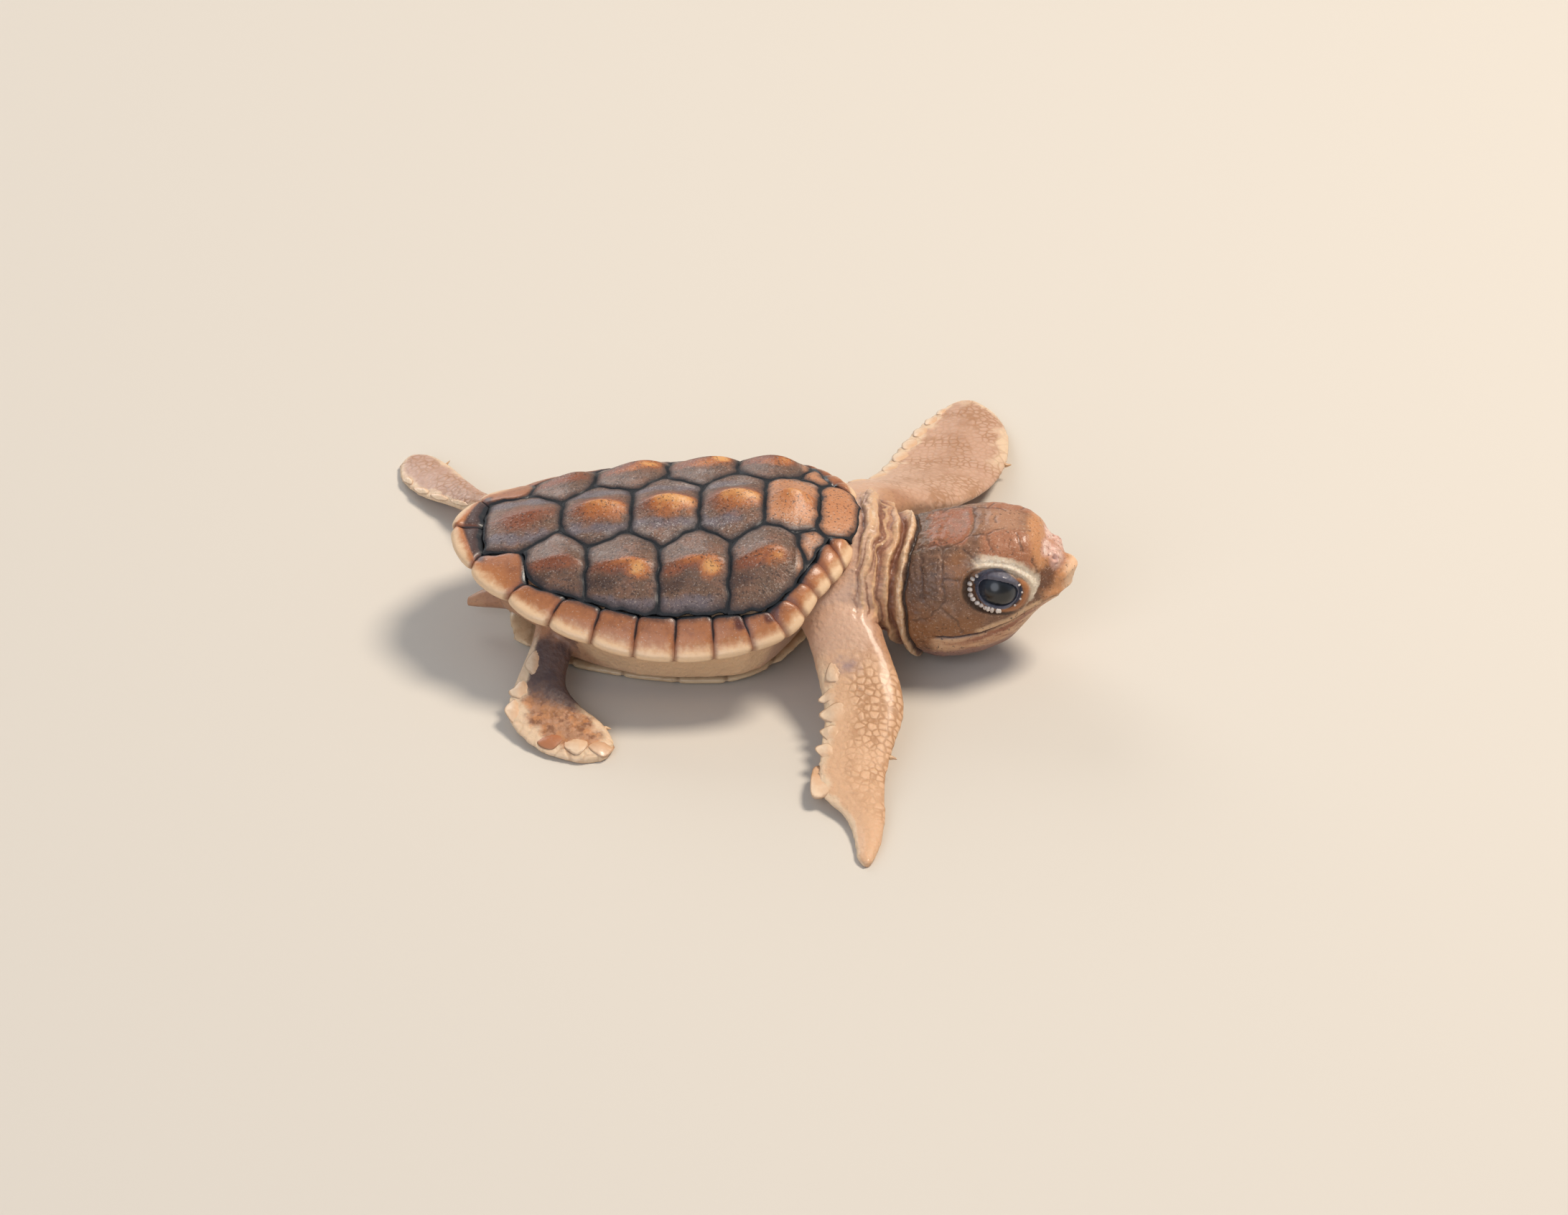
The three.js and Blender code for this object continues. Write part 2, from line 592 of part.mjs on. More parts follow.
// A round shape along a path of [x, y, z, half width, half height].
function roundShape(rows, grow, points, perRow) {
  const steps = (rows.length - 1) * perRow;
  const rings = Array.from({ length: steps + 1 }, (_, s) => {
    const [x, y, z, wide, high] = rowAt(rows, s / perRow);
    return Array.from({ length: points }, (_, i) => {
      const angle = (i / points) * 2 * Math.PI;
      return new THREE.Vector3(x, y + (wide + grow) * Math.cos(angle), z + (high + grow) * Math.sin(angle));
    });
  });
  return loft(rings);
}

// ---------------------------------------------------------------- head

const headFrame = new THREE.Matrix4().makeRotationFromEuler(
  new THREE.Euler(
    0,
    THREE.MathUtils.degToRad(-HEAD_PLACE.pitch),
    THREE.MathUtils.degToRad(HEAD_PLACE.yaw),
    "ZYX",
  ),
);
headFrame.setPosition(HEAD_PLACE.x, HEAD_PLACE.y, HEAD_PLACE.z);
const headPoint = (a, b, c) => new THREE.Vector3(a, b, c).applyMatrix4(headFrame);

function headSolid(grow, points, perRow) {
  const steps = (HEAD.length - 1) * perRow;
  const rings = Array.from({ length: steps + 1 }, (_, s) => {
    const [along, half, top, bottom, wide, squareTop, squareBottom] = rowAt(HEAD, s / perRow);
    return Array.from({ length: points }, (_, i) => {
      const angle = (i / points) * 2 * Math.PI;
      const [cos, sin] = [Math.cos(angle), Math.sin(angle)];
      const square = sin > 0 ? squareTop : squareBottom;
      const radius = (Math.abs(cos) ** square + Math.abs(sin) ** square) ** (-1 / square);
      const tall = (sin > 0 ? top - wide : wide - bottom) + grow;
      return headPoint(along, (half + grow) * cos * radius, wide + tall * sin * radius);
    });
  });
  return loft(rings);
}
const ball = (radius, [a, b, c], detail) => {
  const centre = headPoint(a, b, c);
  return solidOf(new THREE.IcosahedronGeometry(radius, detail).translate(centre.x, centre.y, centre.z));
};

// A thick slab under the mouth line, from the beak's tip back to the corner of the mouth.
function jawBlock(lift) {
  const heightAt = (a) => MOUTH.frontHeight + MOUTH.slope * (8 - a) + lift;
  const [front, back] = [14, MOUTH.corner];
  const corners = (a) => [[-12, -14], [12, -14], [12, heightAt(a)], [-12, heightAt(a)]];
  return loft([back, front].map((a) => corners(a).map(([b, c]) => headPoint(a, b, c))));
}

const eyeAt = (side) => [EYE.along, EYE.side * side, EYE.height];
const skull = headSolid(0, 20, 2);
const nostrils = [1, -1].map((side) =>
  ball(NOSTRIL.radius, [NOSTRIL.along, NOSTRIL.side * side, NOSTRIL.height], 1));
const sockets = [1, -1].map((side) => ball(EYE.radius + GAP, eyeAt(side), 2));
const lidBulge = (side) => {
  const bulge = new THREE.IcosahedronGeometry(1, 2).scale(LIDS.along, LIDS.side, LIDS.height);
  const [a, b, c] = eyeAt(side);
  bulge.translate(a, b - LIDS.inset * side, c).applyMatrix4(headFrame);
  return solidOf(bulge);
};
const bumps = [...nostrils, lidBulge(1), lidBulge(-1)];
const wholeHead = bumps.reduce((sum, bump) => sum.add(bump), skull);
const hollowHead = sockets.reduce((rest, socket) => rest.subtract(socket), wholeHead);
addNode("head", keepLargest(hollowHead.subtract(jawBlock(0))), SKIN);
addNode("lower_jaw", keepLargest(hollowHead.intersect(jawBlock(-GAP))), SKIN);
for (const [sideName, side] of Object.entries(SIDES)) {
  addNode(`eye_${sideName}`, ball(EYE.radius, eyeAt(side), 2), EYE_FINISH);
}

const headRoom = headSolid(GAP, 20, 2);
const neck = keepLargest(roundShape(NECK, 0, 20, 1).subtract(headRoom).subtract(shellRoom));
addNode("neck", neck, SKIN);
const neckRoom = roundShape(NECK, GAP, 20, 1);
addNode("trunk", trunk, SKIN);

const LIMBS = {
  front_flipper_right: { rows: FRONT_RIGHT, serration: SERRATION },
  front_flipper_left: { rows: FRONT_LEFT, serration: SERRATION },
  hind_flipper_right: { rows: HIND_RIGHT, serration: null },
  hind_flipper_left: { rows: HIND_LEFT, serration: null },
};
const limbRoom = shellRoom.add(neckRoom).add(headRoom);

// A claw is a curved cone on the leading edge.
function claw(limbName, row, length, radius, grow) {
  const [lx, ly, tx, ty, z] = rowAt(LIMBS[limbName].rows, row);
  const out = new THREE.Vector3(lx - tx, ly - ty, 0).normalize();
  const towardsTip = new THREE.Vector3(0, Math.sign(ly), 0);
  const rings = [0, 0.5, 1].map((share) => {
    const centre = new THREE.Vector3(lx, ly, z)
      .addScaledVector(out, (share - CLAW_ROOT) * length)
      .addScaledVector(towardsTip, CLAW_ROOT * length * share ** 2);
    const reach = radius * (1 - 0.8 * share) + grow;
    return Array.from({ length: 6 }, (_, i) => {
      const angle = (i / 6) * 2 * Math.PI;
      return centre.clone()
        .addScaledVector(towardsTip, reach * Math.cos(angle))
        .add(new THREE.Vector3(0, 0, reach * Math.sin(angle)));
    });
  });
  return loft(rings);
}
for (const [limbName, row, length, radius] of CLAWS) {
  const { rows, serration } = LIMBS[limbName];
  const clawRoom = claw(limbName, row, length, radius, GAP);
  const flipper = limb(rows, 12, 2, serration).intersect(floorTrim).subtract(limbRoom).subtract(clawRoom);
  addNode(limbName, keepLargest(flipper), SKIN);
  const clawName = `claw_${limbName.replace("_flipper", "")}`;
  addNode(clawName, claw(limbName, row, length, radius, 0).intersect(floorTrim), CLAW_FINISH);
}
addNode("tail", keepLargest(roundShape(TAIL, 0, 10, 1).subtract(shellRoom)), SKIN);

export default model;
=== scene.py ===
import math
from collections import defaultdict
import bpy
import numpy as np
from mathutils import Matrix, Vector, kdtree, noise


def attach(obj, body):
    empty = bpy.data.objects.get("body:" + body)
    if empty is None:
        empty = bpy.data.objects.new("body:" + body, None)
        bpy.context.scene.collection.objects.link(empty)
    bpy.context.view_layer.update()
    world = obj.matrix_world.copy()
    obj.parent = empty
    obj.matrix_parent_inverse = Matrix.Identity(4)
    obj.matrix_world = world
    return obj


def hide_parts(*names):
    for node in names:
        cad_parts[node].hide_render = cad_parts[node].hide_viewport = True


# A loggerhead sea turtle hatchling, life size. The numbers in the tables are millimetres.
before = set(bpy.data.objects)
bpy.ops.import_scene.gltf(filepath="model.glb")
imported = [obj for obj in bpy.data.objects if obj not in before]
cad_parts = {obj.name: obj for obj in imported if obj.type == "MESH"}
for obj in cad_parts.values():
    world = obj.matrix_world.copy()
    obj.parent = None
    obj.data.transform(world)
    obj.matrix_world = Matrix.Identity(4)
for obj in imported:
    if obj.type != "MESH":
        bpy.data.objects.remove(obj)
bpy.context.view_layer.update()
mm = 0.001
sides = {"left": 1, "right": -1}


def linearColour(hexValue):
    channels = [((hexValue >> shift) & 255) / 255 for shift in (16, 8, 0)]
    return tuple(c / 12.92 if c <= 0.04045 else ((c + 0.055) / 1.055) ** 2.4 for c in channels) + (1.0,)


def addNode(tree, kind, settings=None, links=None):
    # settings are the node's own properties, or else its inputs by name or number
    node = tree.nodes.new("ShaderNode" + kind)
    settings = settings or {}
    own = [key for key in settings if isinstance(key, str) and hasattr(node, key)]
    for key in own:
        setattr(node, key, settings[key])
    for key in settings:
        if key not in own:
            node.inputs[key].default_value = settings[key]
    for key, socket in (links or {}).items():
        tree.links.new(socket, node.inputs[key])
    return node


def startMaterial(name):
    material = bpy.data.materials.new(name)
    material.use_nodes = True
    material.node_tree.nodes.clear()
    return material, material.node_tree


def deselectAll():
    bpy.ops.object.select_all(action="DESELECT")


def choose(piece):
    deselectAll()
    piece.select_set(True)
    bpy.context.view_layer.objects.active = piece


def addObject(name, data):
    thing = bpy.data.objects.new(name, data)
    bpy.context.scene.collection.objects.link(thing)
    return thing


def editWhole(piece, operator, **settings):
    # one edit-mode operator on the whole of a piece
    choose(piece)
    bpy.ops.object.mode_set(mode="EDIT")
    bpy.ops.mesh.select_all(action="SELECT")
    operator(**settings)
    bpy.ops.object.mode_set(mode="OBJECT")


def turnOutwards(piece):
    editWhole(piece, bpy.ops.mesh.normals_make_consistent, inside=False)


def copyOf(blank, name):
    return addObject(name, blank.data.copy())


def mergedCopy(nodeName):
    piece = copyOf(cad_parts[nodeName], nodeName + "_copy")
    editWhole(piece, bpy.ops.mesh.remove_doubles, threshold=1e-6)
    return piece


def startBlank(around, fill):
    deselectAll()
    bpy.ops.mesh.primitive_circle_add(vertices=around, radius=1, fill_type=fill)
    bpy.ops.object.mode_set(mode="EDIT")
    bpy.ops.mesh.select_all(action="SELECT")
    return bpy.context.object


def startBall(segments, rings):
    deselectAll()
    bpy.ops.mesh.primitive_uv_sphere_add(segments=segments, ring_count=rings, radius=1)
    return bpy.context.object


def makeBlankDisc(around, rings):
    # a ring drawn in towards its middle, step by step, closer together near the edge
    blank = startBlank(around, "NOTHING")
    for before, after in zip(rings, rings[1:]):
        bpy.ops.mesh.extrude_edges_move()
        bpy.ops.transform.resize(value=(after / before,) * 3, center_override=(0, 0, 0))
    bpy.ops.mesh.extrude_edges_move()
    bpy.ops.mesh.merge(type="COLLAPSE")
    bpy.ops.object.mode_set(mode="OBJECT")
    turnOutwards(blank)
    return blank


def makeBlankTube(around, along):
    # a closed tube, drawn out ring by ring
    blank = startBlank(around, "NGON")
    for _ in range(along):
        bpy.ops.mesh.extrude_region_move(TRANSFORM_OT_translate={"value": (0, 0, 1)})
    bpy.ops.object.mode_set(mode="OBJECT")
    return blank


def applyModifier(piece, kind, settings):
    choose(piece)
    bpy.ops.object.modifier_add(type=kind)
    modifier = piece.modifiers[-1]
    for key, value in settings.items():
        setattr(modifier, key, value)
    bpy.ops.object.modifier_apply(modifier=modifier.name)


def thicken(piece, thick):
    # downwards from the upper face
    applyModifier(piece, "SOLIDIFY", {"thickness": thick * mm, "offset": -1.0, "use_even_offset": False})


def remeshSmooth(piece, settings):
    # one even skin over all that is joined
    voxels = {"mode": "VOXEL", "voxel_size": settings["voxel"] * mm, "adaptivity": 0.0}
    applyModifier(piece, "REMESH", voxels)
    applyModifier(piece, "SMOOTH", {"iterations": settings["smoothing"], "factor": 0.5})


def readPoints(piece):
    points = np.zeros(len(piece.data.vertices) * 3)
    piece.data.vertices.foreach_get("co", points)
    return points.reshape(-1, 3) / mm


def readNormals(piece):
    normals = np.zeros(len(piece.data.vertices) * 3)
    piece.data.vertices.foreach_get("normal", normals)
    return normals.reshape(-1, 3)


def writePoints(piece, points):
    piece.data.vertices.foreach_set("co", (points * mm).ravel())
    piece.data.update()


def writeMasks(piece, masks):
    # numbers for every point that the materials read by name
    for name, values in masks.items():
        attribute = piece.data.attributes.get(name) or piece.data.attributes.new(name, "FLOAT", "POINT")
        attribute.data.foreach_set("value", np.asarray(values, np.float32))


def step(low, high, x):
    t = np.clip((x - low) / (high - low), 0, 1)
    return t * t * (3 - 2 * t)


def softNoise(points, size, seed):
    return np.array([noise.noise(Vector(p / size) + Vector((seed * 7.3, seed * 3.1, 0))) for p in points])


def band(x, centre, width):
    return np.exp(-((x - centre) / width) ** 2)


def curve(p0, p1, p2, p3, t):
    # smooth way from p1 to p2, with p0 and p3 as their neighbours
    return p1 + 0.5 * t * (p2 - p0 + t * (2 * p0 - 5 * p1 + 4 * p2 - p3 + t * (-p0 + 3 * p1 - 3 * p2 + p3)))


def rowAt(rows, position):
    # smooth values between the rows of a table
    rows = np.asarray(rows, float)
    last = len(rows) - 1
    i = int(min(max(math.floor(position), 0), last - 1))
    return curve(*[rows[min(max(k, 0), last)] for k in (i - 1, i, i + 1, i + 2)], position - i)


def findRow(rows, value):
    # row position at which the first column, steadily falling or rising, has a value
    falls = rows[0][0] > rows[-1][0]
    low, high = 0.0, len(rows) - 1.0
    for _ in range(30):
        middle = (low + high) / 2
        if (rowAt(rows, middle)[0] > value) == falls:
            low = middle
        else:
            high = middle
    return (low + high) / 2


def finishPiece(piece, name, body, material):
    piece.name = name
    piece.data.name = name
    piece.data.materials.clear()
    piece.data.materials.append(material)
    piece.data.polygons.foreach_set("use_smooth", [True] * len(piece.data.polygons))
    piece.data.update()
    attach(piece, body)


view = {"elevation": 35.0, "yaw": 2.6, "distance": 1000.0, "frameWidth": 173.33,
        "aim": (1.2, 0.0, 15.75), "right": 13.357, "down": 10.643}


def makeCamera():
    tilt, yaw = math.radians(view["elevation"]), math.radians(view["yaw"])
    right = Vector((math.cos(yaw), math.sin(yaw), 0))
    level = Vector((-math.sin(yaw), math.cos(yaw), 0))
    forward = level * math.cos(tilt) - Vector((0, 0, 1)) * math.sin(tilt)
    up = right.cross(forward)
    spot = Vector(view["aim"]) + right * view["right"] - up * view["down"] - forward * view["distance"]
    camera = addObject("camera", bpy.data.cameras.new("camera"))
    turn = Matrix((right, up, -forward)).transposed().to_4x4()
    camera.matrix_world = Matrix.Translation(spot * mm) @ turn
    camera.data.sensor_width = 36
    camera.data.lens = 36 * view["distance"] / view["frameWidth"]
    camera.data.clip_start = 0.01
    camera.data.clip_end = 20
    bpy.context.scene.camera = camera


studio = {"floorSize": 6.0, "floorColour": 0xcfc8bd, "sky": 0.32,
          "key": {"place": (0.40, 0.14, 0.70), "size": 0.26, "power": 6.2, "colour": 0xfff2e2},
          "fill": {"place": (-0.30, -0.75, 0.50), "size": 0.8, "power": 3.4, "colour": 0xeef3ff},
          "rim": {"place": (-0.35, 0.6, 0.35), "size": 0.5, "power": 1.8, "colour": 0xffffff}}


def makeStudio():
    deselectAll()
    bpy.ops.mesh.primitive_plane_add(size=studio["floorSize"], location=(0, 0, 0))
    floor = bpy.context.object
    floor.name = "floor"
    material, tree = startMaterial("paintedFloor")  # matt pale board
    shader = addNode(tree, "BsdfPrincipled",
                     {"Base Color": linearColour(studio["floorColour"]), "Roughness": 0.85})
    addNode(tree, "OutputMaterial", {}, {"Surface": shader.outputs[0]})
    floor.data.materials.append(material)
    for name in ("key", "fill", "rim"):
        lamp = studio[name]
        light = bpy.data.lights.new(name, "AREA")
        light.shape = "DISK"
        light.size = lamp["size"]
        light.energy = lamp["power"]
        light.color = linearColour(lamp["colour"])[:3]
        holder = addObject(name, light)
        holder.location = lamp["place"]
        holder.rotation_euler = (-Vector(lamp["place"])).to_track_quat("-Z", "Y").to_euler()
    world = bpy.data.worlds.new("studio")
    world.use_nodes = True
    world.node_tree.nodes["Background"].inputs["Color"].default_value = (0.9, 0.94, 1.0, 1)
    world.node_tree.nodes["Background"].inputs["Strength"].default_value = studio["sky"]
    bpy.context.scene.world = world
    bpy.context.scene.view_settings.view_transform = "Standard"


makeCamera()
makeStudio()
print("camera, floor and lights are in place")


# the shell's surface
shell = {
    # seam number along the rim, inner corner x, y, outer corner x, y, height of the rim
    "rim": [[0, 19.7, 5.2, 22.4, 4.4, 14.9], [1, 19.5, 5.5, 21.5, 7.7, 14.5],
            [3, 16.7, 11.0, 18.8, 11.6, 13.2], [5, 13.2, 14.2, 15.5, 15.6, 10.8],
            [7, 7.4, 14.8, 7.7, 17.7, 9.2], [9, -0.7, 14.6, -1.2, 17.6, 9.1],
            [11, -8.9, 11.8, -10.7, 13.9, 10.3], [12, -13.2, 9.4, -15.4, 10.5, 11.2],
            [12.5, -14.1, 5.5, -17.7, 8.5, 11.7], [13, -18.4, 4.7, -19.7, 6.2, 12.2],
            [14, -18.9, 0.0, -22.2, 0.1, 13.0]],
    "lip": 1.1, "underturn": 2.3, "root": 0.6,
    # x and height along the midline
    "spine": [[23.0, 16.2], [18.5, 17.2], [12.5, 17.7], [5.3, 16.8], [-2.3, 15.95], [-10.0, 14.75],
              [-18.2, 13.4], [-22.4, 12.9]],
    "crossSeams": [[18.5, 4.2], [12.5, 4.2], [5.3, 4.0], [-2.3, 3.9], [-10.1, 2.7], [-18.4, 4.7]],
    "sideCorners": [[16.1, 5.3], [9.1, 6.8], [1.2, 6.9], [-6.8, 6.0], [-14.1, 5.5]],
    "costalEnds": [0, 2.5, 6.5, 8.5, 10.5, 12.5],
    "nuchalFront": [[22.3, 4.3], [22.9, 1.6]],
    "tailPoint": 0.4,
    "keel": 1.65, "sideKeel": 1.25, "sideKeelY": 9.8, "keelWidth": 2.2, "keelLow": 0.25,
    # sunk seams and the slope beside them
    "groove": 0.19, "grooveWidth": 0.3, "pillow": 0.12, "pillowWidth": 1.2,
    "waver": 0.16, "waverLength": 3.4,  # how far and over what length the seams wander
}

rimTable = np.array([rowAt(shell["rim"], findRow(shell["rim"], seam)) for seam in np.arange(0, 14.01, 0.1)])
spineX = np.linspace(23.0, -22.4, 180)
spineZ = np.array([rowAt(shell["spine"], findRow(shell["spine"], x))[1] for x in spineX])


def rimRow(seam):
    return np.array([np.interp(seam, rimTable[:, 0], rimTable[:, c]) for c in range(1, 6)])


def domeHeight(x, y):
    order = np.argsort(rimTable[:, 3])
    half = np.interp(x, rimTable[order, 3], rimTable[order, 4])
    rim = np.interp(x, rimTable[order, 3], rimTable[order, 5])
    spine = np.interp(x, spineX[::-1], spineZ[::-1])
    t = np.minimum(np.abs(y) / np.maximum(half, 0.1), 1)
    return rim + (spine - rim) * (1 - 0.6 * t ** 2 - 0.4 * t ** 6)


def alongPlate(x, seams):
    # share of the way from a plate's front seam to its back seam, and which plate of the row it is
    number = np.clip(np.searchsorted(-np.array(seams), -x) - 1, 0, len(seams) - 2)
    front, back = np.array(seams)[number], np.array(seams)[number + 1]
    return np.clip((front - x) / (front - back), 0, 1), number


def knobAlong(x, seams, lead):
    share = alongPlate(x, seams)[0]
    knob = shell["keelLow"] + (1 - shell["keelLow"]) * np.sin(np.pi * share ** lead) ** 1.2
    return np.where((x <= seams[0]) & (x >= seams[-1]), knob, 0)


def keelOffset(x, y):
    line = shell["sideKeelY"] - 2.2 * step(0, 14, -x) - 1.2 * step(9, 16, x)
    return np.abs(y) - line


def keelHeight(x, y):
    fading = step(-19, -8, x)
    middle = shell["keel"] * knobAlong(x, [s[0] for s in shell["crossSeams"]], 1.0)
    middle = middle * np.exp(-((np.abs(y) / shell["keelWidth"]) ** 1.35)) * (0.5 + 0.5 * fading)
    offset = keelOffset(x, y)
    medial, lateral = np.maximum(-offset, 0), np.maximum(offset, 0)
    side = shell["sideKeel"] * knobAlong(x, [s[0] for s in shell["sideCorners"]], 0.75)
    side = side * np.exp(-((medial / 2.7) ** 1.25) - (lateral / 1.6) ** 1.5) - 0.14 * band(offset, 2.9, 0.9)
    return middle + side * fading


def waver(points):
    # the same small wander for every plate, so that neighbours still meet along their seams
    x, y = points[:, 0], points[:, 1]
    k = 2 * math.pi / shell["waverLength"]
    dx = np.sin(k * y + 1.3 * np.sin(0.23 * x)) + 0.6 * np.sin(1.7 * k * y + 0.9 + x * 0.4)
    dy = np.sin(k * x + 1.1 * np.sin(0.31 * np.abs(y))) + 0.6 * np.sin(1.9 * k * x + 2.1 + y * 0.3)
    calm = step(0.2, 2.0, np.abs(y))
    return points + shell["waver"] * 0.6 * np.stack([dx * calm, dy * calm], 1)


def seamDistance(points, outline):
    # distance to the sides of an outline, smoothly joined where two sides meet, so that corners are rounded
    sharp = 4.0
    edges = np.roll(outline, -1, 0) - outline
    heading = np.arctan2(edges[:, 1], edges[:, 0])
    turned = np.abs((heading - np.roll(heading, 1) + math.pi) % (2 * math.pi) - math.pi)
    side = np.cumsum(turned > math.radians(22)) % max(np.sum(turned > math.radians(22)), 1)
    total = np.zeros(len(points))
    for number in np.unique(side):
        nearest = np.full(len(points), 1e9)
        for start, edge in zip(outline[side == number], edges[side == number]):
            along = np.clip(((points - start) @ edge) / max(edge @ edge, 1e-9), 0, 1)
            nearest = np.minimum(nearest, np.hypot(*(points - start - along[:, None] * edge).T))
        total += np.exp(-sharp * nearest)
    return np.maximum(-np.log(np.maximum(total, 1e-12)) / sharp, 0)


def paintLayers(tree, baseColour, layers):
    # a row holds the mask, the size of the noise that roughens it and how much, where the layer starts and
    # where it is full, its colour, its strength and, if any, other settings
    place = addNode(tree, "TexCoord").outputs["Object"]
    colour = addNode(tree, "RGB").outputs[0]
    colour.default_value = linearColour(baseColour)
    for mask, size, ragged, (start, full), hexValue, strength, *more in layers:
        extra = more[0] if more else {}
        stretched = addNode(tree, "Mapping", {"Scale": extra.get("stretch", (1, 1, 1)),
                            "Location": (extra.get("seed", 0) * 0.37, 0, 0)}, {"Vector": place}).outputs[0]
        value = addNode(tree, "TexNoise", {"Scale": 1000 / size, "Detail": extra.get("detail", 2.0),
                        "Roughness": 0.55}, {"Vector": stretched}).outputs["Fac"]
        if mask:
            shown = addNode(tree, "Attribute", {"attribute_name": mask}).outputs["Fac"]
            value = addNode(tree, "Math", {"operation": "MULTIPLY_ADD", 1: ragged},
                            {0: value, 2: shown}).outputs[0]
        amount = addNode(tree, "MapRange", {"interpolation_type": "SMOOTHSTEP", "From Min": start,
                         "From Max": full, "To Min": 0.0, "To Max": strength}, {"Value": value}).outputs[0]
        if "within" in extra:
            shown = addNode(tree, "Attribute", {"attribute_name": extra["within"]}).outputs["Fac"]
            amount = addNode(tree, "Math", {"operation": "MULTIPLY"}, {0: amount, 1: shown}).outputs[0]
        colour = addNode(tree, "Mix", {"data_type": "RGBA", 7: linearColour(hexValue)},
                         {0: amount, 6: colour}).outputs[2]
    return colour


def grainBump(tree, grains):
    # relief too fine for the mesh: feature size and height
    place = addNode(tree, "TexCoord").outputs["Object"]
    relief = {}
    for size, height, *cells in grains:
        kind, settings = ("TexVoronoi", {"feature": "SMOOTH_F1"}) if cells else ("TexNoise", {"Detail": 3.0})
        grain = addNode(tree, kind, {"Scale": 1000 / size, **settings}, {"Vector": place})
        relief["Height"] = grain.outputs["Distance" if cells else "Fac"]
        bump = addNode(tree, "Bump", {"Strength": 1.0, "Distance": height * mm}, relief)
        relief["Normal"] = bump.outputs[0]
    return relief["Normal"]


# horn of the upper plates: brown keratin, wet and leathery, orange on the keels with a painted highlight on
# their knobs and painted shade below the side keels, and dusted grey elsewhere, the dust partly painted sky
# sheen
scuteHorn = {
    "base": 0x674c3b,
    "layers": [
        (None, 2.4, 0, (0.42, 0.66), 0x7c5844, 0.9, {"detail": 4}),
        (None, 0.5, 0, (0.5, 0.72), 0x423029, 0.75, {"detail": 3}),
        ("cool", 1.6, 0.9, (0.9, 1.5), 0x655f68, 0.7),
        ("crest", 0.7, 0.5, (0.45, 1.2), 0x84472a, 0.85),
        # painted shade below the side keels
        ("under", 0.7, 0.5, (0.5, 1.25), 0x402a21, 0.75),
        ("light", 0.9, 0.5, (0.4, 1.1), 0xbf8258, 0.95),
        # keel orange, then a brighter layer of the same mask that is a painted highlight on the knobs
        ("keelOrangeAndHighlight", 1.0, 0.8, (0.6, 1.35), 0xb36a34, 0.9, {"detail": 3}),
        ("keelOrangeAndHighlight", 0.9, 0.8, (1.05, 1.65), 0xdca463, 0.8, {"detail": 3}),
        # grey dust, laid heavier on the costals' inner slopes as painted sky sheen
        ("dustAndSheen", 2.6, 1.8, (1.75, 2.15), 0x928883, 0.5, {"detail": 4}),
        ("dustAndSheen", 0.24, 1.6, (1.84, 2.12), 0xcdc6c1, 0.6, {"detail": 2}),
        (None, 0.22, 0, (0.57, 0.72), 0xb3a498, 0.5, {"detail": 2, "seed": 3}),
        (None, 0.3, 0, (0.44, 0.32), 0x2b1e1a, 0.7, {"detail": 2, "seed": 7}),
        ("seam", 0.6, -0.5, (0.72, -0.1), 0x2f2628, 0.8),
        ("seam", 0.4, -0.2, (0.2, 0.04), 0x14181e, 1.0),
    ],
    "roughness": 0.44, "seamRoughness": 0.85, "ior": 1.5, "coat": 0.12, "coatRoughness": 0.24,
    "grains": [(1.1, 0.08), (0.34, 0.1)],
}

# horn of the rim: tan within, paling to cream at its edge
rimHorn = {
    "base": 0xa0653f,
    "layers": [
        (None, 1.5, 0, (0.45, 0.7), 0x8a5537, 0.8, {"detail": 4}),
        (None, 0.4, 0, (0.52, 0.75), 0x6e4330, 0.5, {"detail": 3}),
        ("innerDark", 0.8, 0.5, (0.35, 1.2), 0x7d4f38, 0.7),
        ("outward", 0.9, 0.3, (0.55, 1.05), 0xbc7a49, 0.9),
        ("outward", 0.7, 0.3, (0.84, 1.2), 0xe2bf98, 1.0),
        ("dark", 0.9, 0.35, (0.45, 1.0), 0x35282a, 0.9),
        ("spot", 0.6, 0.3, (0.3, 0.8), 0x54241a, 0.9),
        (None, 0.22, 0, (0.62, 0.74), 0xd8cabb, 0.35, {"detail": 2, "seed": 3}),
        ("seam", 0.4, -0.3, (0.5, -0.1), 0x7a4026, 0.7),
        ("seamDark", 0.4, 0.25, (0.35, 1.0), 0x241d1f, 0.9),
        ("innerSeam", 0.5, -0.4, (0.75, 0.0), 0x2c2326, 0.8),
        ("innerSeam", 0.4, -0.25, (0.34, 0.1), 0x14181e, 1.0),
    ],
    "roughness": 0.4, "seamRoughness": 0.55, "ior": 1.5, "coat": 0.22, "coatRoughness": 0.2,
    "grains": [(0.9, 0.045), (0.26, 0.035)],
}


def makeHorn(name, horn):
    material, tree = startMaterial(name)
    colour = paintLayers(tree, horn["base"], horn["layers"])
    normal = grainBump(tree, horn["grains"])
    seam = addNode(tree, "Attribute", {"attribute_name": "seam"}).outputs["Fac"]
    roughness = addNode(tree, "MapRange", {"From Min": 0.15, "From Max": 0.8,
                        "To Min": horn["seamRoughness"], "To Max": horn["roughness"]},
                        {"Value": seam}).outputs[0]
    shader = addNode(tree, "BsdfPrincipled", {"IOR": horn["ior"], "Coat Weight": horn["coat"],
                     "Coat Roughness": horn["coatRoughness"]},
                     {"Base Color": colour, "Normal": normal, "Roughness": roughness})
    addNode(tree, "OutputMaterial", {}, {"Surface": shader.outputs[0]})
    return material


plate = {"around": 132, "thick": 0.65,
         "rings": [1, 0.985, 0.97, 0.952, 0.932, 0.91, 0.885, 0.855, 0.82, 0.78, 0.735, 0.685, 0.63,
                   0.57, 0.505, 0.44, 0.37, 0.295, 0.215, 0.13, 0.06]}


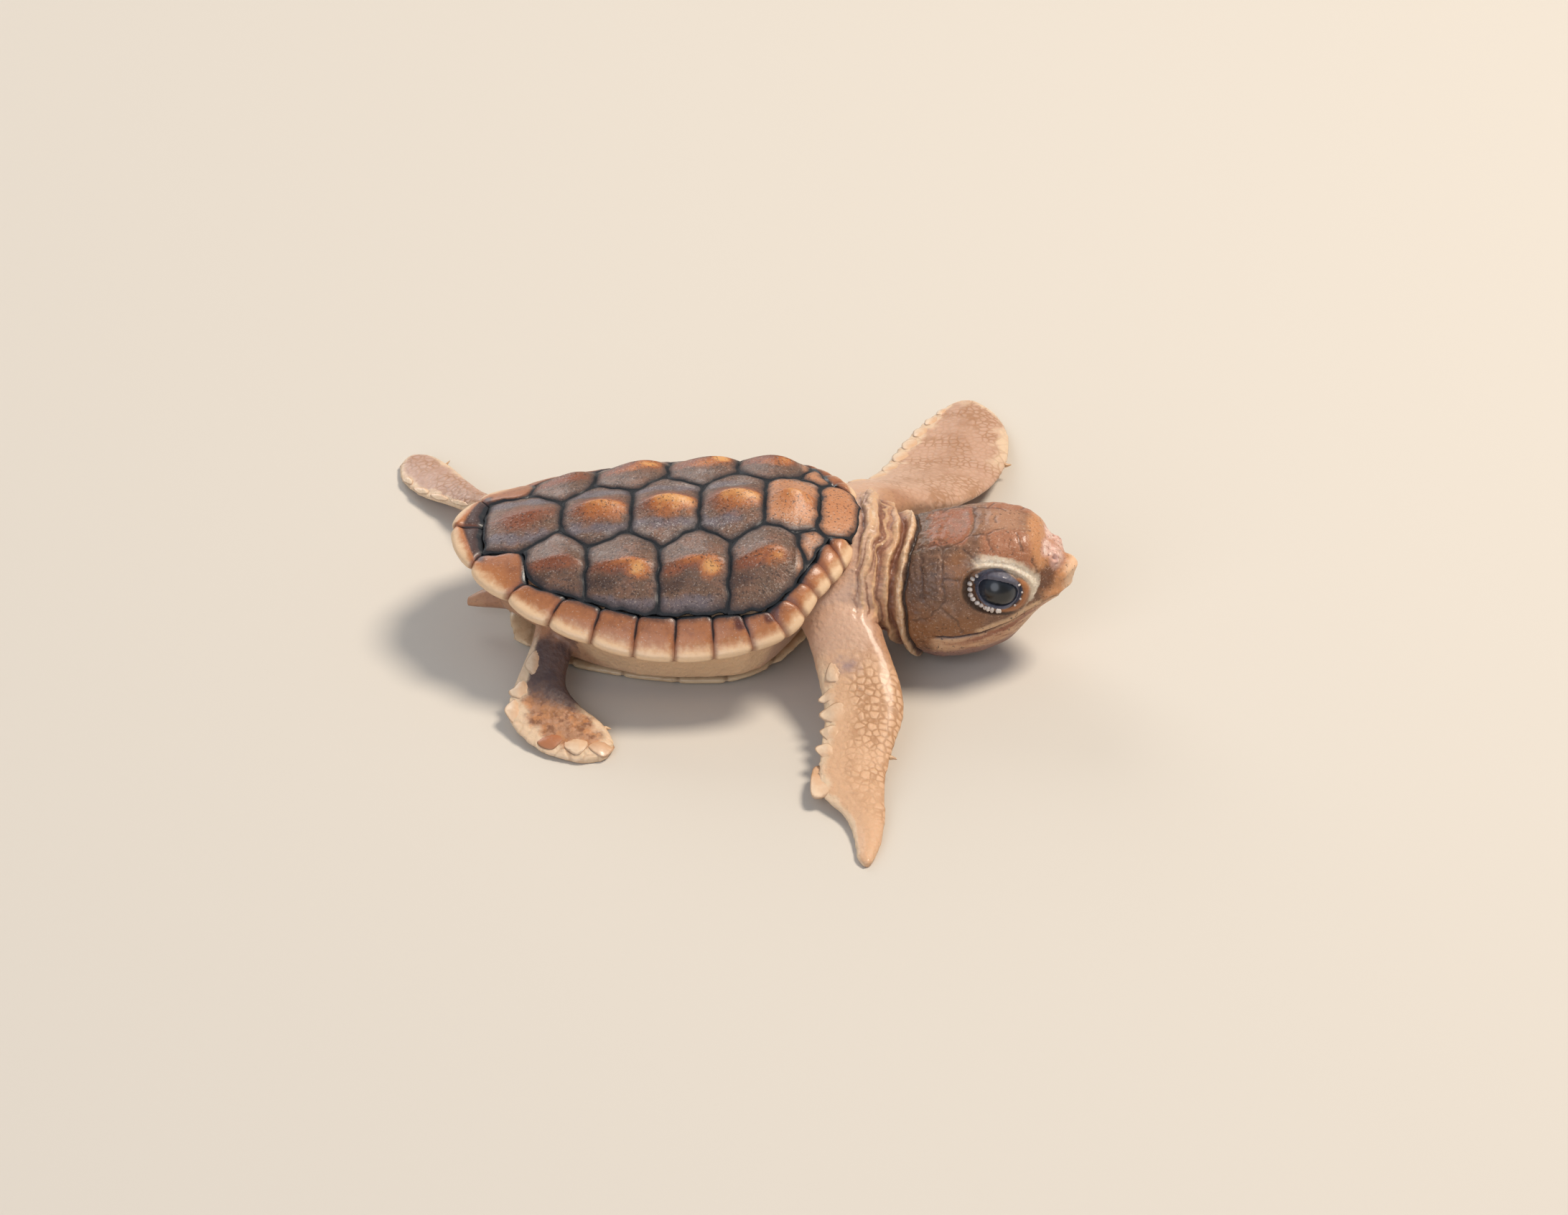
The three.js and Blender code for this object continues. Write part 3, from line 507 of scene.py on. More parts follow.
def resample(outline, count):
    # points at even steps round a closed outline
    closed = np.vstack([outline, outline[:1]])
    lengths = np.r_[0, np.cumsum(np.hypot(*np.diff(closed, axis=0).T))]
    steps = np.linspace(0, lengths[-1], count + 1)[:-1]
    return np.stack([np.interp(steps, lengths, closed[:, c]) for c in (0, 1)], 1)


def closedCurve(points, count):
    # even walk round a smooth closed curve through the points
    rows = np.vstack([points[-2:], points, points[:3]])
    fine = [curve(*rows[i - 1:i + 3], t)
            for i in range(2, len(points) + 2) for t in np.linspace(0, 1, 9)[:-1]]
    return resample(np.array(fine), count)


def turnNumber(flat, around):
    # number of each point in its ring, counted round from the x axis
    turn = (np.arctan2(flat[:, 1], flat[:, 0]) % (2 * math.pi)) / (2 * math.pi) * around
    return np.round(turn).astype(int) % around


def spreadDisc(piece, outline):
    # the blank disc's points spread inside an outline, with their place on the disc and share of the way out
    flat = readPoints(piece)[:, :2] * mm
    area = np.sum(outline[:, 0] * np.roll(outline[:, 1], -1) - outline[:, 1] * np.roll(outline[:, 0], -1))
    outline = outline if area > 0 else outline[::-1]
    radius = np.hypot(flat[:, 0], flat[:, 1])
    middle = outline.mean(0)
    return middle + (outline[turnNumber(flat, len(outline))] - middle) * radius[:, None], flat, radius


def shapePlate(blank, name, corners):
    piece = copyOf(blank, name)
    corners = np.array(corners, float)
    points = spreadDisc(piece, resample(corners, plate["around"]))[0]
    distance = seamDistance(points, corners)
    points = waver(points)
    x, y = points.T
    seam = shell["groove"] * np.exp(-(distance / shell["grooveWidth"]) ** 1.6)
    pillow = shell["pillow"] * np.exp(-distance / shell["pillowWidth"])
    writePoints(piece, np.stack([x, y, domeHeight(x, y) + keelHeight(x, y) - pillow - seam], 1))
    writeMasks(piece, {"seam": distance, **plateMarks(name, x, y)})
    if piece.data.polygons[0].normal.z < 0:
        editWhole(piece, bpy.ops.mesh.flip_normals)
    thicken(piece, plate["thick"])
    return piece


def innerRim(seam, side):
    row = rimRow(seam)
    return [row[0], row[1] * side]


def plateOutlines():
    cross, corner = shell["crossSeams"], shell["sideCorners"]
    outlines = {}
    for i in range(5):
        tail = [[cross[5][0] - shell["tailPoint"], 0.0]] if i == 4 else []
        outlines["vertebral_%d" % (i + 1)] = [
            cross[i], corner[i], cross[i + 1]] + tail + [
            [cross[i + 1][0], -cross[i + 1][1]], [corner[i][0], -corner[i][1]], [cross[i][0], -cross[i][1]]]
    half = [cross[0], innerRim(0, 1)] + shell["nuchalFront"]
    outlines["nuchal"] = half + [[x, -y] for x, y in reversed(half)]
    for sideName, side in sides.items():
        for i in range(5):
            before = [] if i == 0 else [[corner[i - 1][0], corner[i - 1][1] * side]]
            medial = before + [[cross[i][0], cross[i][1] * side], [corner[i][0], corner[i][1] * side]]
            start, end = shell["costalEnds"][i], shell["costalEnds"][i + 1]
            lateral = [innerRim(seam, side) for seam in np.linspace(end, max(start, 1), 14)]
            lateral += [] if start else [innerRim(0, side)]
            outlines["costal_%s_%d" % (sideName, i + 1)] = medial + lateral
    return outlines


def plateMarks(name, x, y):
    # where a plate is orange with a painted highlight, browns along its keel, takes painted shade below its
    # side keel, or is dusted grey with painted sky sheen
    flat = np.stack([x, y, 0 * x], 1)
    spread = softNoise(flat, 2.2, 11) + 0.5 * softNoise(flat, 0.9, 12)
    offset, reach = keelOffset(x, y) + 0.45 * spread, np.abs(y) + 0.6 * spread
    fading = 0.15 + 0.85 * step(-17, -8, x)
    if name.startswith("vertebral"):
        share, number = alongPlate(x, [seam[0] for seam in shell["crossSeams"]])
        strength = np.array([0.9, 1.05, 1.1, 0.9, 0.3])[number]
        swell = 0.5 + 0.5 * np.sin(math.pi * share) ** 0.7
        slope = np.exp(-(np.maximum(reach, 0) / (2.7 * swell)) ** 2) * (0.35 + 0.65 * step(0.9, 0.1, y))
        keelOrangeAndHighlight = strength * np.exp(-((share - 0.36) / 0.42) ** 4) * np.minimum(slope, 1)
        crest = band(share, 0.5, 0.5) * band(reach, 0.3, 2.3 * swell)
        dustAndSheen = (0.55 + 0.4 * step(1.6, 3.4, reach)) * (0.5 + 0.5 * step(-14, -2, x))
        cool = band(reach, 3.4, 1.4) * step(13, 9, x)
        light, under = 0.85 * step(12.2, 12.9, x) * step(6.0, 2.8, reach), 0 * x
    else:
        share, number = alongPlate(x, [seam[0] for seam in shell["sideCorners"]])
        strength = np.array([0.85, 1.15, 1.1, 0.35])[number] * (x < 16)
        offset = offset + 1.3 * step(3, 4, y)
        # a painted highlight near the plate's front, where the knob faces the light
        spot = band(share, 0.26, 0.2) * band(offset, 0.75, 1.0)
        ridge = band(share, 0.42, 0.4) * band(offset, 0.15, 0.85)
        keelOrangeAndHighlight = strength * np.maximum(spot * 1.05, ridge * 0.72)
        crest = band(share, 0.55, 0.55) * band(offset, 0.5, 0.95) * (x < 16)
        # painted shade below the side keel
        under = band(offset, 2.1, 1.0) * step(0.35, 0.75, share) * (x < 16)
        # grey dust, heavier on the inner slope, where it is also painted sky sheen
        dustAndSheen = 0.85 * step(-0.2, -1.2, offset) + 0.75 * step(2.6, 4.4, offset)
        cool = step(2.2, 4.0, offset) * 0.95 * step(13, 6, x)
        light = 0.75 * step(15.9, 16.8, x)
    if name.startswith("nuchal"):
        keelOrangeAndHighlight, crest, dustAndSheen, light = 0.45 * band(reach, 0, 2.6), 0 * x, 0.2 + 0 * x, 0.95 + 0 * x
    light = np.clip(light + 0.35 * step(7, 11, y), 0, 1)
    return {"keelOrangeAndHighlight": np.clip(keelOrangeAndHighlight * fading, 0, 1.2), "crest": crest, "dustAndSheen": dustAndSheen, "cool": cool,
            "light": light, "under": under}


def makePlates():
    horn = makeHorn("wetScuteKeratin", scuteHorn)
    blank = makeBlankDisc(plate["around"], plate["rings"])
    for name, corners in plateOutlines().items():
        piece = shapePlate(blank, name + "_horn", corners)
        finishPiece(piece, name + "_horn", "root", horn)
        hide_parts(name)
    bpy.data.objects.remove(blank)


rim = {"around": 36, "along": 22, "groove": 0.3, "notch": 0.35,
       "marginals": 13, "scallop": 0.12, "rearScallop": 0.5}


def rimSection(seam, share, length):
    ix, iy, ox, oy, height = rimRow(seam)
    reach = math.hypot(ox - ix, oy - iy)
    out = np.array([(ox - ix) / reach, (oy - iy) / reach])
    bulge = (rim["scallop"] + rim["rearScallop"] * step(8, 13, seam)) * math.sin(math.pi * share) ** 0.8
    fromEnd = min(share, 1 - share) * length
    cut = math.exp(-((fromEnd / 0.33) ** 1.4))
    bulge -= rim["notch"] * cut * (0.35 + 0.65 * step(9, 13, seam))
    turn = min(shell["underturn"], reach - shell["root"])

    def top(distance):
        px, py = np.array([ix]) + out[0] * distance, np.array([iy]) + out[1] * distance
        return domeHeight(px, py)[0] - rim["groove"] * cut - 0.1 * math.exp(-fromEnd / 1.0)
    lip = shell["lip"]
    points = [  # over the top, down the edge, back below
        (-0.3, top(0.02) - 0.5), (0.14, top(0.2) - 0.24), (0.65, top(0.7) + 0.02),
        (reach * 0.65, top(reach * 0.65) + 0.14), (reach - 0.4, height + 0.46 - 0.3 * cut),
        (reach + 0.06 + bulge, height - 0.08 - 0.2 * cut), (reach + 0.12 + bulge, height - lip * 0.55),
        (reach - 0.35 + bulge, height - lip + 0.02), (reach - 0.45 * turn, height - lip - 0.02),
        (reach - turn + 0.1, height - lip + 0.1), (reach - turn, height - lip + 0.5),
        (reach - turn * 0.5, height - 0.5), (0.45, top(0.3) - 0.86), (-0.3, top(0.02) - 0.95)]
    return np.array(points), np.array([ix, iy]), out, reach


def shapeRimPlate(blank, name, startSeam, endSeam, side):
    piece = copyOf(blank, name)
    raw = readPoints(piece) * mm
    turn = turnNumber(raw, rim["around"])
    place = np.round(raw[:, 2]).astype(int)
    a, b = rimRow(startSeam), rimRow(endSeam)
    length = math.hypot(a[2] - b[2], a[3] - b[3])
    points = np.zeros_like(raw)
    seam, inner, outward = np.zeros((3, len(raw)))
    for k in range(rim["along"] + 1):
        # rings lie closer together towards both ends
        share = 0.5 - 0.5 * math.cos(math.pi * k / rim["along"]) * (1 - 0.004)
        share = 0.65 * share + 0.35 * k / rim["along"]
        seamHere = startSeam + (endSeam - startSeam) * share
        section, root, out, reach = rimSection(seamHere, share, length)
        ring = closedCurve(section, rim["around"])
        here = place == k
        across, height = ring[turn[here]].T
        points[here] = np.column_stack([root + out * across[:, None], height])
        seam[here] = min(share, 1 - share) * length
        inner[here] = across
        outward[here] = np.where(height < rimRow(seamHere)[4] - 0.55, 1.15, across / reach)
    calm = step(1.6, 0.4, inner)[:, None]
    points[:, :2] += (waver(points[:, :2]) - points[:, :2]) * calm
    points[:, 1] *= side
    writePoints(piece, points)
    x = points[:, 0]
    writeMasks(piece, {
        "seam": seam,
        "innerSeam": inner,
        "innerDark": step(1.3, 0.2, inner) * step(16, 8, np.abs(x)),
        "seamDark": band(seam, 0, 0.2) * step(0.95, 0.5, outward) * step(15, 11, x) * 1.1,
        "outward": outward - 0.1 * step(-12, -18, x) + 0.1 * step(12, 20, x),
        "dark": step(-17.2, -19.2, x) * step(0.9, 0.5, outward),
        "spot": np.clip(band(x, 13.9, 0.9) + band(x, 10.6, 0.8), 0, 1) * step(0.75, 0.35, outward)})
    turnOutwards(piece)
    return piece


def makeRim():
    horn = makeHorn("wetRimKeratin", rimHorn)
    blank = makeBlankTube(rim["around"], rim["along"])
    turnOutwards(blank)
    for sideName, side in sides.items():
        for i in range(rim["marginals"] + 1):
            last = i == rim["marginals"]
            name = "supracaudal_" + sideName if last else "marginal_%s_%02d" % (sideName, i + 1)
            piece = shapeRimPlate(blank, name + "_horn", max(i, 0.02), min(i + 1, 13.99), side)
            finishPiece(piece, name + "_horn", "root", horn)
            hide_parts(name)
    bpy.data.objects.remove(blank)


makePlates()
print("plates of the upper shell are modelled")
makeRim()
print("plates of the rim are modelled")


# one skin over head, neck, limbs, trunk and tail
body = {
    # leading edge x, y, trailing edge x, y, height of the middle, thickness
    "frontRight": [[24.5, -6.0, 15.0, -6.5, 9.0, 6.6], [26.2, -12.0, 17.6, -11.5, 7.4, 5.2],
                   [28.2, -17.0, 19.2, -17.0, 5.0, 3.6], [28.6, -20.9, 19.9, -20.9, 3.7, 2.9],
                   [27.8, -25.0, 19.7, -25.2, 2.8, 2.4], [27.1, -29.3, 19.6, -29.8, 1.9, 2.0],
                   [27.1, -32.6, 20.2, -33.0, 1.4, 1.8], [27.2, -35.9, 22.8, -36.2, 0.9, 1.7],
                   [27.0, -39.6, 23.9, -40.0, 0.6, 1.5], [26.4, -42.4, 24.3, -42.8, 0.45, 1.3],
                   [25.8, -43.9, 25.2, -44.0, 0.35, 1.0]],
    "frontLeft": [[22.5, 6.0, 14.5, 7.5, 9.6, 6.4], [28.0, 13.0, 18.6, 15.2, 8.0, 4.8],
                  [33.4, 18.2, 22.6, 21.8, 5.4, 3.4], [37.0, 25.4, 24.6, 28.8, 2.9, 2.5],
                  [38.6, 31.8, 26.2, 34.6, 1.8, 2.1], [38.7, 38.0, 28.2, 39.6, 1.2, 1.9],
                  [37.2, 43.2, 30.4, 43.8, 0.6, 1.7], [34.8, 46.1, 32.2, 46.2, 0.4, 1.2]],
    "hindRight": [[-6.6, -6.5, -12.4, -6.0, 6.2, 5.0], [-8.2, -11.4, -12.8, -10.8, 4.8, 3.9],
                  [-8.7, -15.6, -14.3, -15.2, 2.9, 2.8], [-6.8, -18.2, -15.0, -18.8, 1.8, 2.2],
                  [-4.4, -20.3, -14.0, -22.0, 1.2, 1.9], [-2.9, -23.1, -10.8, -25.1, 0.6, 1.6],
                  [-3.6, -25.6, -6.8, -26.6, 0.4, 1.2]],
    "hindLeft": [[-8.0, 8.0, -13.0, 6.0, 6.2, 5.0], [-14.4, 14.6, -17.0, 11.4, 5.2, 3.8],
                 [-19.4, 19.4, -21.3, 16.8, 3.4, 2.8], [-22.4, 24.6, -24.8, 20.4, 2.0, 2.2],
                 [-24.8, 29.0, -28.0, 23.1, 1.2, 1.8], [-27.4, 32.0, -30.3, 26.8, 0.6, 1.6],
                 [-29.4, 32.3, -30.9, 30.0, 0.4, 1.2]],
    # along the head's axis, half width, top, bottom, height of the widest point, squareness above and below
    "head": [[-11.5, 6.0, 5.0, -5.6, -0.5, 2.2, 2.2], [-9.0, 7.0, 6.2, -7.5, -0.8, 2.4, 2.3],
             [-5.6, 7.6, 6.9, -8.4, -0.6, 2.5, 2.5], [-2.0, 7.5, 7.3, -8.2, -0.2, 2.6, 2.4],
             [1.2, 6.7, 7.4, -7.4, 0.4, 3.0, 2.2], [4.0, 5.4, 7.1, -6.3, 0.6, 3.0, 2.1],
             [5.8, 4.4, 6.2, -5.4, 0.3, 2.8, 2.0], [6.7, 3.6, 4.5, -4.8, 0.0, 2.5, 2.0],
             [7.4, 3.0, 3.5, -4.3, -0.2, 2.3, 2.0], [8.8, 1.8, 2.2, -2.6, -0.3, 2.0, 2.0],
             [9.7, 0.6, 0.9, -1.2, -0.2, 2.0, 2.0]],
    "headPlace": (37.6, -2.0, 9.7), "headPitch": 7.0, "headYaw": -3.0,
    # x, y, z of the middle, half width, half height
    "neck": [[17.0, 0.0, 9.2, 10.4, 4.8], [21.0, 0.0, 9.4, 10.2, 5.5], [24.0, 0.0, 9.9, 9.8, 6.5],
             [26.0, -0.5, 9.2, 8.0, 6.4], [28.0, -0.9, 8.7, 6.9, 6.4], [31.0, -1.4, 8.7, 6.2, 6.2],
             [34.0, -1.7, 9.0, 5.0, 4.8]],
    "tail": [[-13.0, 0.0, 4.4, 2.4, 2.0], [-16.5, 0.0, 4.0, 1.8, 1.5], [-19.0, 0.0, 3.4, 1.1, 1.0],
             [-20.8, 0.0, 2.9, 0.5, 0.5]],
    "voxel": 0.28, "keep": 0.57, "smoothing": 6, "around": 56, "along": 90,
}

face = {
    # places in the head's own directions: along, to the side, height
    "eye": (1.4, 4.9, 1.7), "eyeRadius": 2.4, "lidBulge": (3.6, 2.3, 3.1), "eyeAxis": (0.06, 0.95, 0.3),
    "opening": (2.2, 1.62), "openingTilt": -18.0, "flatter": 0.84, "socket": 0.75,
    "jawTuck": 0.56, "jawNarrowing": 0.05, "beakPoint": 0.25, "beakSlope": 0.36,
    "mouthDepth": 0.42, "mouthWidth": 0.17, "jawSetBack": 0.3,
    "seamDepth": 0.045, "seamWidth": 0.14, "plateSwell": 0.07,
    "nostril": (7.2, 1.1, 2.6), "nostrilRadius": 1.3, "nostrilHole": (7.6, 2.1, 3.3),
    # height of the mouth line from the beak's tip back
    "mouth": [[9.7, -1.9], [8.9, -1.8], [8.0, -1.45], [6.95, -1.1], [4.2, -1.7], [2.5, -2.35],
              [-0.9, -2.95], [-4.0, -3.1], [-6.2, -2.9]],
    "perDegree": 0.129,  # millimetres round the head for a degree
    # borders of the head's plates: along the head, degrees round it from the crown
    "seams": [[[-1.2, -9], [-1.0, 5], [-1.2, 20], [-2.2, 26], [-3.4, 31], [-4.5, 29], [-4.8, 22]],
              [[-3.4, 31], [-4.5, 29], [-6.8, 26], [-8.2, 30]],
              [[-0.9, 21], [1.1, 18], [2.3, 13]], [[0.9, -6], [1.3, 4]],
              [[0.3, 20], [0.7, 27], [1.2, 37]], [[-2.1, 33], [-1.2, 40], [-0.35, 46]],
              [[-4.4, 30], [-4.4, 38], [-4.35, 57], [-4.3, 77], [-4.9, 81]],
              [[-6.8, 26], [-6.7, 44], [-6.8, 56], [-6.6, 74]], [[-4.35, 57], [-2.6, 60]],
              [[3.9, 20], [4.3, 34]], [[5.3, 40], [5.7, 54], [5.5, 66]],
              [[-4.9, 81], [-3.2, 96], [-2.8, 108]], [[-4.9, 81], [-6.6, 92], [-8.0, 96]]],
}

# folds of neck skin: how far forward each lies at degrees round the neck from the top, its height and width
neckFolds = [
    {"round": [0, 35, 60, 85, 110, 150], "x": [24.3, 24.0, 24.0, 24.2, 24.5, 24.9],
     "height": 0.5, "width": 0.62, "to": 170},
    {"round": [0, 35, 60, 85, 115, 150], "x": [27.0, 26.2, 26.0, 26.2, 27.2, 28.4],
     "height": 0.6, "width": 0.6, "to": 150}]
neckLap = {"round": [0, 25, 45, 65, 85, 105, 130, 165], "height": 0.68, "width": 0.85, "to": 160,
           "x": [29.2, 28.5, 28.0, 27.9, 28.1, 28.7, 29.9, 31.5]}

neckWrinkles = {"spacing": 1.15, "height": 0.11}

# mask that colours each limb
limbMasks = {"frontRight": "foreNear", "frontLeft": "foreFar",
             "hindRight": "hindNear", "hindLeft": "hindFar"}

headTurn = np.array(Matrix.Rotation(math.radians(body["headYaw"]), 3, "Z")
                    @ Matrix.Rotation(math.radians(-body["headPitch"]), 3, "Y"))
headOrigin = np.array(body["headPlace"])


def toHead(points):
    return (points - headOrigin) @ headTurn


def fromHead(points):
    return points @ headTurn.T + headOrigin


def limbRing(rows, position, share, angle):
    # the trailing side thins from the arm to the blade
    lx, ly, tx, ty, z, thick = rowAt(rows, position)
    across = np.cos(angle)
    up = np.sin(angle) * (1 - 0.45 * step(0.2, 0.5, share) * np.maximum(-across, 0))
    half = np.array([lx - tx, ly - ty]) / 2
    return np.stack([(lx + tx) / 2 + half[0] * across, (ly + ty) / 2 + half[1] * across,
                     z + up * thick / 2], 1)


def roundRing(rows, position, share, angle):
    x, y, z, wide, high = rowAt(rows, position)
    return np.stack([np.full(len(angle), x), y + wide * np.cos(angle), z + high * np.sin(angle)], 1)


def headRing(rows, position, share, angle):
    along, half, top, bottom, wide, squareTop, squareBottom = rowAt(rows, position)
    cos, sin = np.cos(angle), np.sin(angle)
    square = np.where(sin > 0, squareTop, squareBottom)
    radius = (np.abs(cos) ** square + np.abs(sin) ** square) ** (-1 / square)
    tall = np.where(sin > 0, top - wide, wide - bottom)
    return fromHead(np.stack([np.full(len(angle), along), half * cos * radius,
                              wide + tall * sin * radius], 1))


def shapeRod(blank, name, rows, ring):
    piece = copyOf(blank, name)
    raw = readPoints(piece) * mm
    angle = np.arctan2(raw[:, 1], raw[:, 0])
    place = np.round(raw[:, 2]).astype(int)
    points = np.zeros_like(raw)
    for k in range(body["along"] + 1):
        share = k / body["along"]
        here = place == k
        points[here] = ring(rows, share * (len(rows) - 1), share, angle[here])
    writePoints(piece, points)
    turnOutwards(piece)
    return piece


def addBall(name, centre, sizes):
    # a rounded swelling, given in the head's own directions
    ball = startBall(40, 24)
    ball.name = name
    writePoints(ball, fromHead(readPoints(ball) * mm * np.array(sizes) + np.array(centre)))
    return ball


def makeBodyForm():
    blank = makeBlankTube(body["around"], body["along"])
    rods = [shapeRod(blank, limb, body[limb], limbRing) for limb in limbMasks]
    rods += [shapeRod(blank, part + "_form", body[part], headRing if part == "head" else roundRing)
             for part in ("head", "neck", "tail")]
    bpy.data.objects.remove(blank)
    for side in (-1, 1):
        along, across, height = face["nostril"]
        rods.append(addBall("nostril_form", (along, across * side, height), (face["nostrilRadius"],) * 3))
        along, across, height = face["eye"]
        rods.append(addBall("lid_form", (along, (across - 0.3) * side, height), face["lidBulge"]))
    trunk = mergedCopy("trunk")
    applyModifier(trunk, "DISPLACE", {"strength": 0.25 * mm, "mid_level": 0.0})
    choose(trunk)
    for rod in rods:
        rod.select_set(True)
    bpy.ops.object.join()
    trunk.data.materials.clear()
    remeshSmooth(trunk, body)
    return trunk


def lineDistance(points, start, end):
    edge = np.array(end, float) - start
    along = np.clip(((points - start) @ edge) / max(edge @ edge, 1e-9), 0, 1)
    return np.hypot(*(points - start - along[:, None] * edge).T)


def polylineDistance(points, lines):
    pairs = [pair for line in lines for pair in zip(line, line[1:])]
    return np.min([lineDistance(points, *pair) for pair in pairs], axis=0)


def eyeFrame(side):
    # centre of the eye, its axis, and the long and the short way of its opening
    centre, axis = np.array(face["eye"]) * [1, side, 1], np.array(face["eyeAxis"]) * [1, side, 1]
    axis /= np.linalg.norm(axis)
    forward = np.array([1.0, 0, 0]) - axis * axis[0]
    forward /= np.linalg.norm(forward)
    up = np.cross(axis, forward) * side * -1
    up = up if up[2] > 0 else -up
    tilt = math.radians(face["openingTilt"])
    return (centre, axis, forward * math.cos(tilt) + up * math.sin(tilt),
            -forward * math.sin(tilt) + up * math.cos(tilt))


def eyePolar(local, side):
    # shape of the lids: 1 at their edge, and the angle round the eye, 0 forward and 90 up
    centre, axis, along, up = eyeFrame(side)
    away = local - centre
    p, s = away @ along, away @ up
    high = np.where(s > 0, face["flatter"], 1.0) * face["opening"][1]
    q = ((np.abs(p) / face["opening"][0]) ** 2.4 + (np.abs(s) / high) ** 2.4) ** (1 / 2.4)
    return away @ axis, p, s, q, np.degrees(np.arctan2(s, p))


def raiseMask(masks, name, values, index=slice(None)):
    # a mask keeps the strongest of what is laid on it
    masks[name][index] = np.maximum(masks[name][index], values)


def shapeEye(local, side, masks):
    height, p, s, q, angle = eyePolar(local, side)
    near = (height > -0.3) & (q < 2.9)
    still = step(2.7, 2.1, q) * step(-0.3, 0.2, height)
    q = 1 + (q - 1) * (1 - 0.26 * band(angle, 95, 60))
    reach = np.hypot(p, s)
    ball = np.sqrt(np.maximum(face["eyeRadius"] ** 2 - reach ** 2, 0.02))
    upper = step(-0.4, 0.5, s / np.maximum(reach, 1e-6))
    # ridges and hollows of the lids, from the eye outwards
    fold = 0.3 * band(q, 1.32, 0.17) - 0.22 * band(q, 1.6, 0.1) * (0.5 + 0.5 * upper)
    fold += 0.16 * band(q, 1.8, 0.14) * upper - 0.16 * band(q, 2.0, 0.1)
    wrinkle = 0.05 * np.sin(angle * 0.42 + 2 * q) * band(q, 1.65, 0.4) * upper
    lid = ball + (0.16 + 0.12 * upper) + fold + wrinkle + 0.35 * step(1.0, 1.25, q)
    blended = lid + (height + fold * 0.6 - lid) * step(1.12, 1.95, q)
    socket = ball - face["socket"]
    target = socket + (blended - socket) * step(0.94, 1.0, q)
    high, above = band(angle, 105, 62), step(-48, 8, angle) * step(165, 120, angle)
    below = np.minimum(np.abs(angle - 240), np.abs(angle + 120))
    for name, values in {
            "lidEdge": step(1.22 + 0.5 * high, 1.1 + 0.4 * high, q),
            "lidPale": band(q, 1.84 + 0.12 * high, 0.3 + 0.24 * high) * above * 1.1,
            "lidBrown": band(q, 1.4, 0.2) * step(-110, -60, angle) * step(65, 30, angle),
            "lidShade": band(q, 1.62, 0.22) * step(95, 60, below)}.items():
        raiseMask(masks, name, near * values)
    return local + eyeFrame(side)[1] * (np.where(near, target - height, 0) * still)[:, None]


def neckRound(points):
    return np.degrees(np.arctan2(np.abs(points[:, 1] + 0.9), points[:, 2] - 8.9))


def acrossLimb(rows, position, across):
    # place in plan, from -1 at the trailing edge to 1 at the leading edge
    lx, ly, tx, ty = rowAt(rows, position)[:4]
    return (lx + tx) / 2 + (lx - tx) / 2 * across, (ly + ty) / 2 + (ly - ty) / 2 * across


def plantTree(places):
    tree = kdtree.KDTree(len(places))
    for number, (x, y) in places:
        tree.insert((x, y, 0), number)
    tree.balance()
    return tree


def limbGrid(rows):
    # plan places of a limb: position between its rows and how far across
    entries = [(position, across) for position in np.linspace(0, len(rows) - 1, 240)
               for across in np.linspace(-1.1, 1.1, 45)]
    return plantTree([(i, acrossLimb(rows, *entry)) for i, entry in enumerate(entries)]), np.array(entries)


def limbPlace(grid, x, y):
    # position, how far across, and distance from the nearest place of the grid
    tree, entries = grid
    out = np.zeros((len(x), 3))
    for i in range(len(x)):
        found = tree.find_n((x[i], y[i], 0), 4)
        weights = np.array([1 / (f[2] + 0.02) for f in found])
        out[i, :2] = (entries[[f[1] for f in found]] * weights[:, None]).sum(0) / weights.sum()
        out[i, 2] = found[0][2]
    return out


limbGrids = {name: limbGrid(body[name]) for name in limbMasks}


def layUnderShell(points, push):
    # flesh keeps clear of the undersides of the plates that cover it
    x, y, z = points.T
    order = np.argsort(rimTable[:, 1])
    half = np.interp(x, rimTable[order, 1], rimTable[order, 2], left=-1, right=-1)
    covered = step(0.1, -0.5, np.abs(y) - half - 0.5) * (x < 19.4) * (x > -18.6)
    over = np.maximum(z - (domeHeight(x, y) - 1.5), 0) * (covered > 0.5)
    return np.stack([x, y, z - over], 1), np.where(over > 0, np.minimum(push, 0), push)


def mouthHeight(along):
    return np.interp(along, *np.array(face["mouth"])[::-1].T)


def tuckJaw(points):
    # the lower jaw is slim at the front, tucked in under the hooked beak
    local = toHead(points)
    a, c = local[:, 0], local[:, 2]
    slim = step(1.0, 6.5, a) * (points[:, 0] > 34) * np.maximum(mouthHeight(a) - c, 0)
    foremost = step(7.2, 9.2, a) * (points[:, 0] > 34)
    tucked = local.copy()
    tucked[:, 2] += face["jawTuck"] * slim
    tucked[:, 1] *= 1 - face["jawNarrowing"] * np.minimum(slim, 2.0)
    tucked[:, 0] += foremost * (face["beakPoint"] * band(c, 1.3, 0.7)
                                - face["beakSlope"] * np.clip(1.1 - c, 0, 3.2))
    return points + (tucked - local) @ headTurn.T


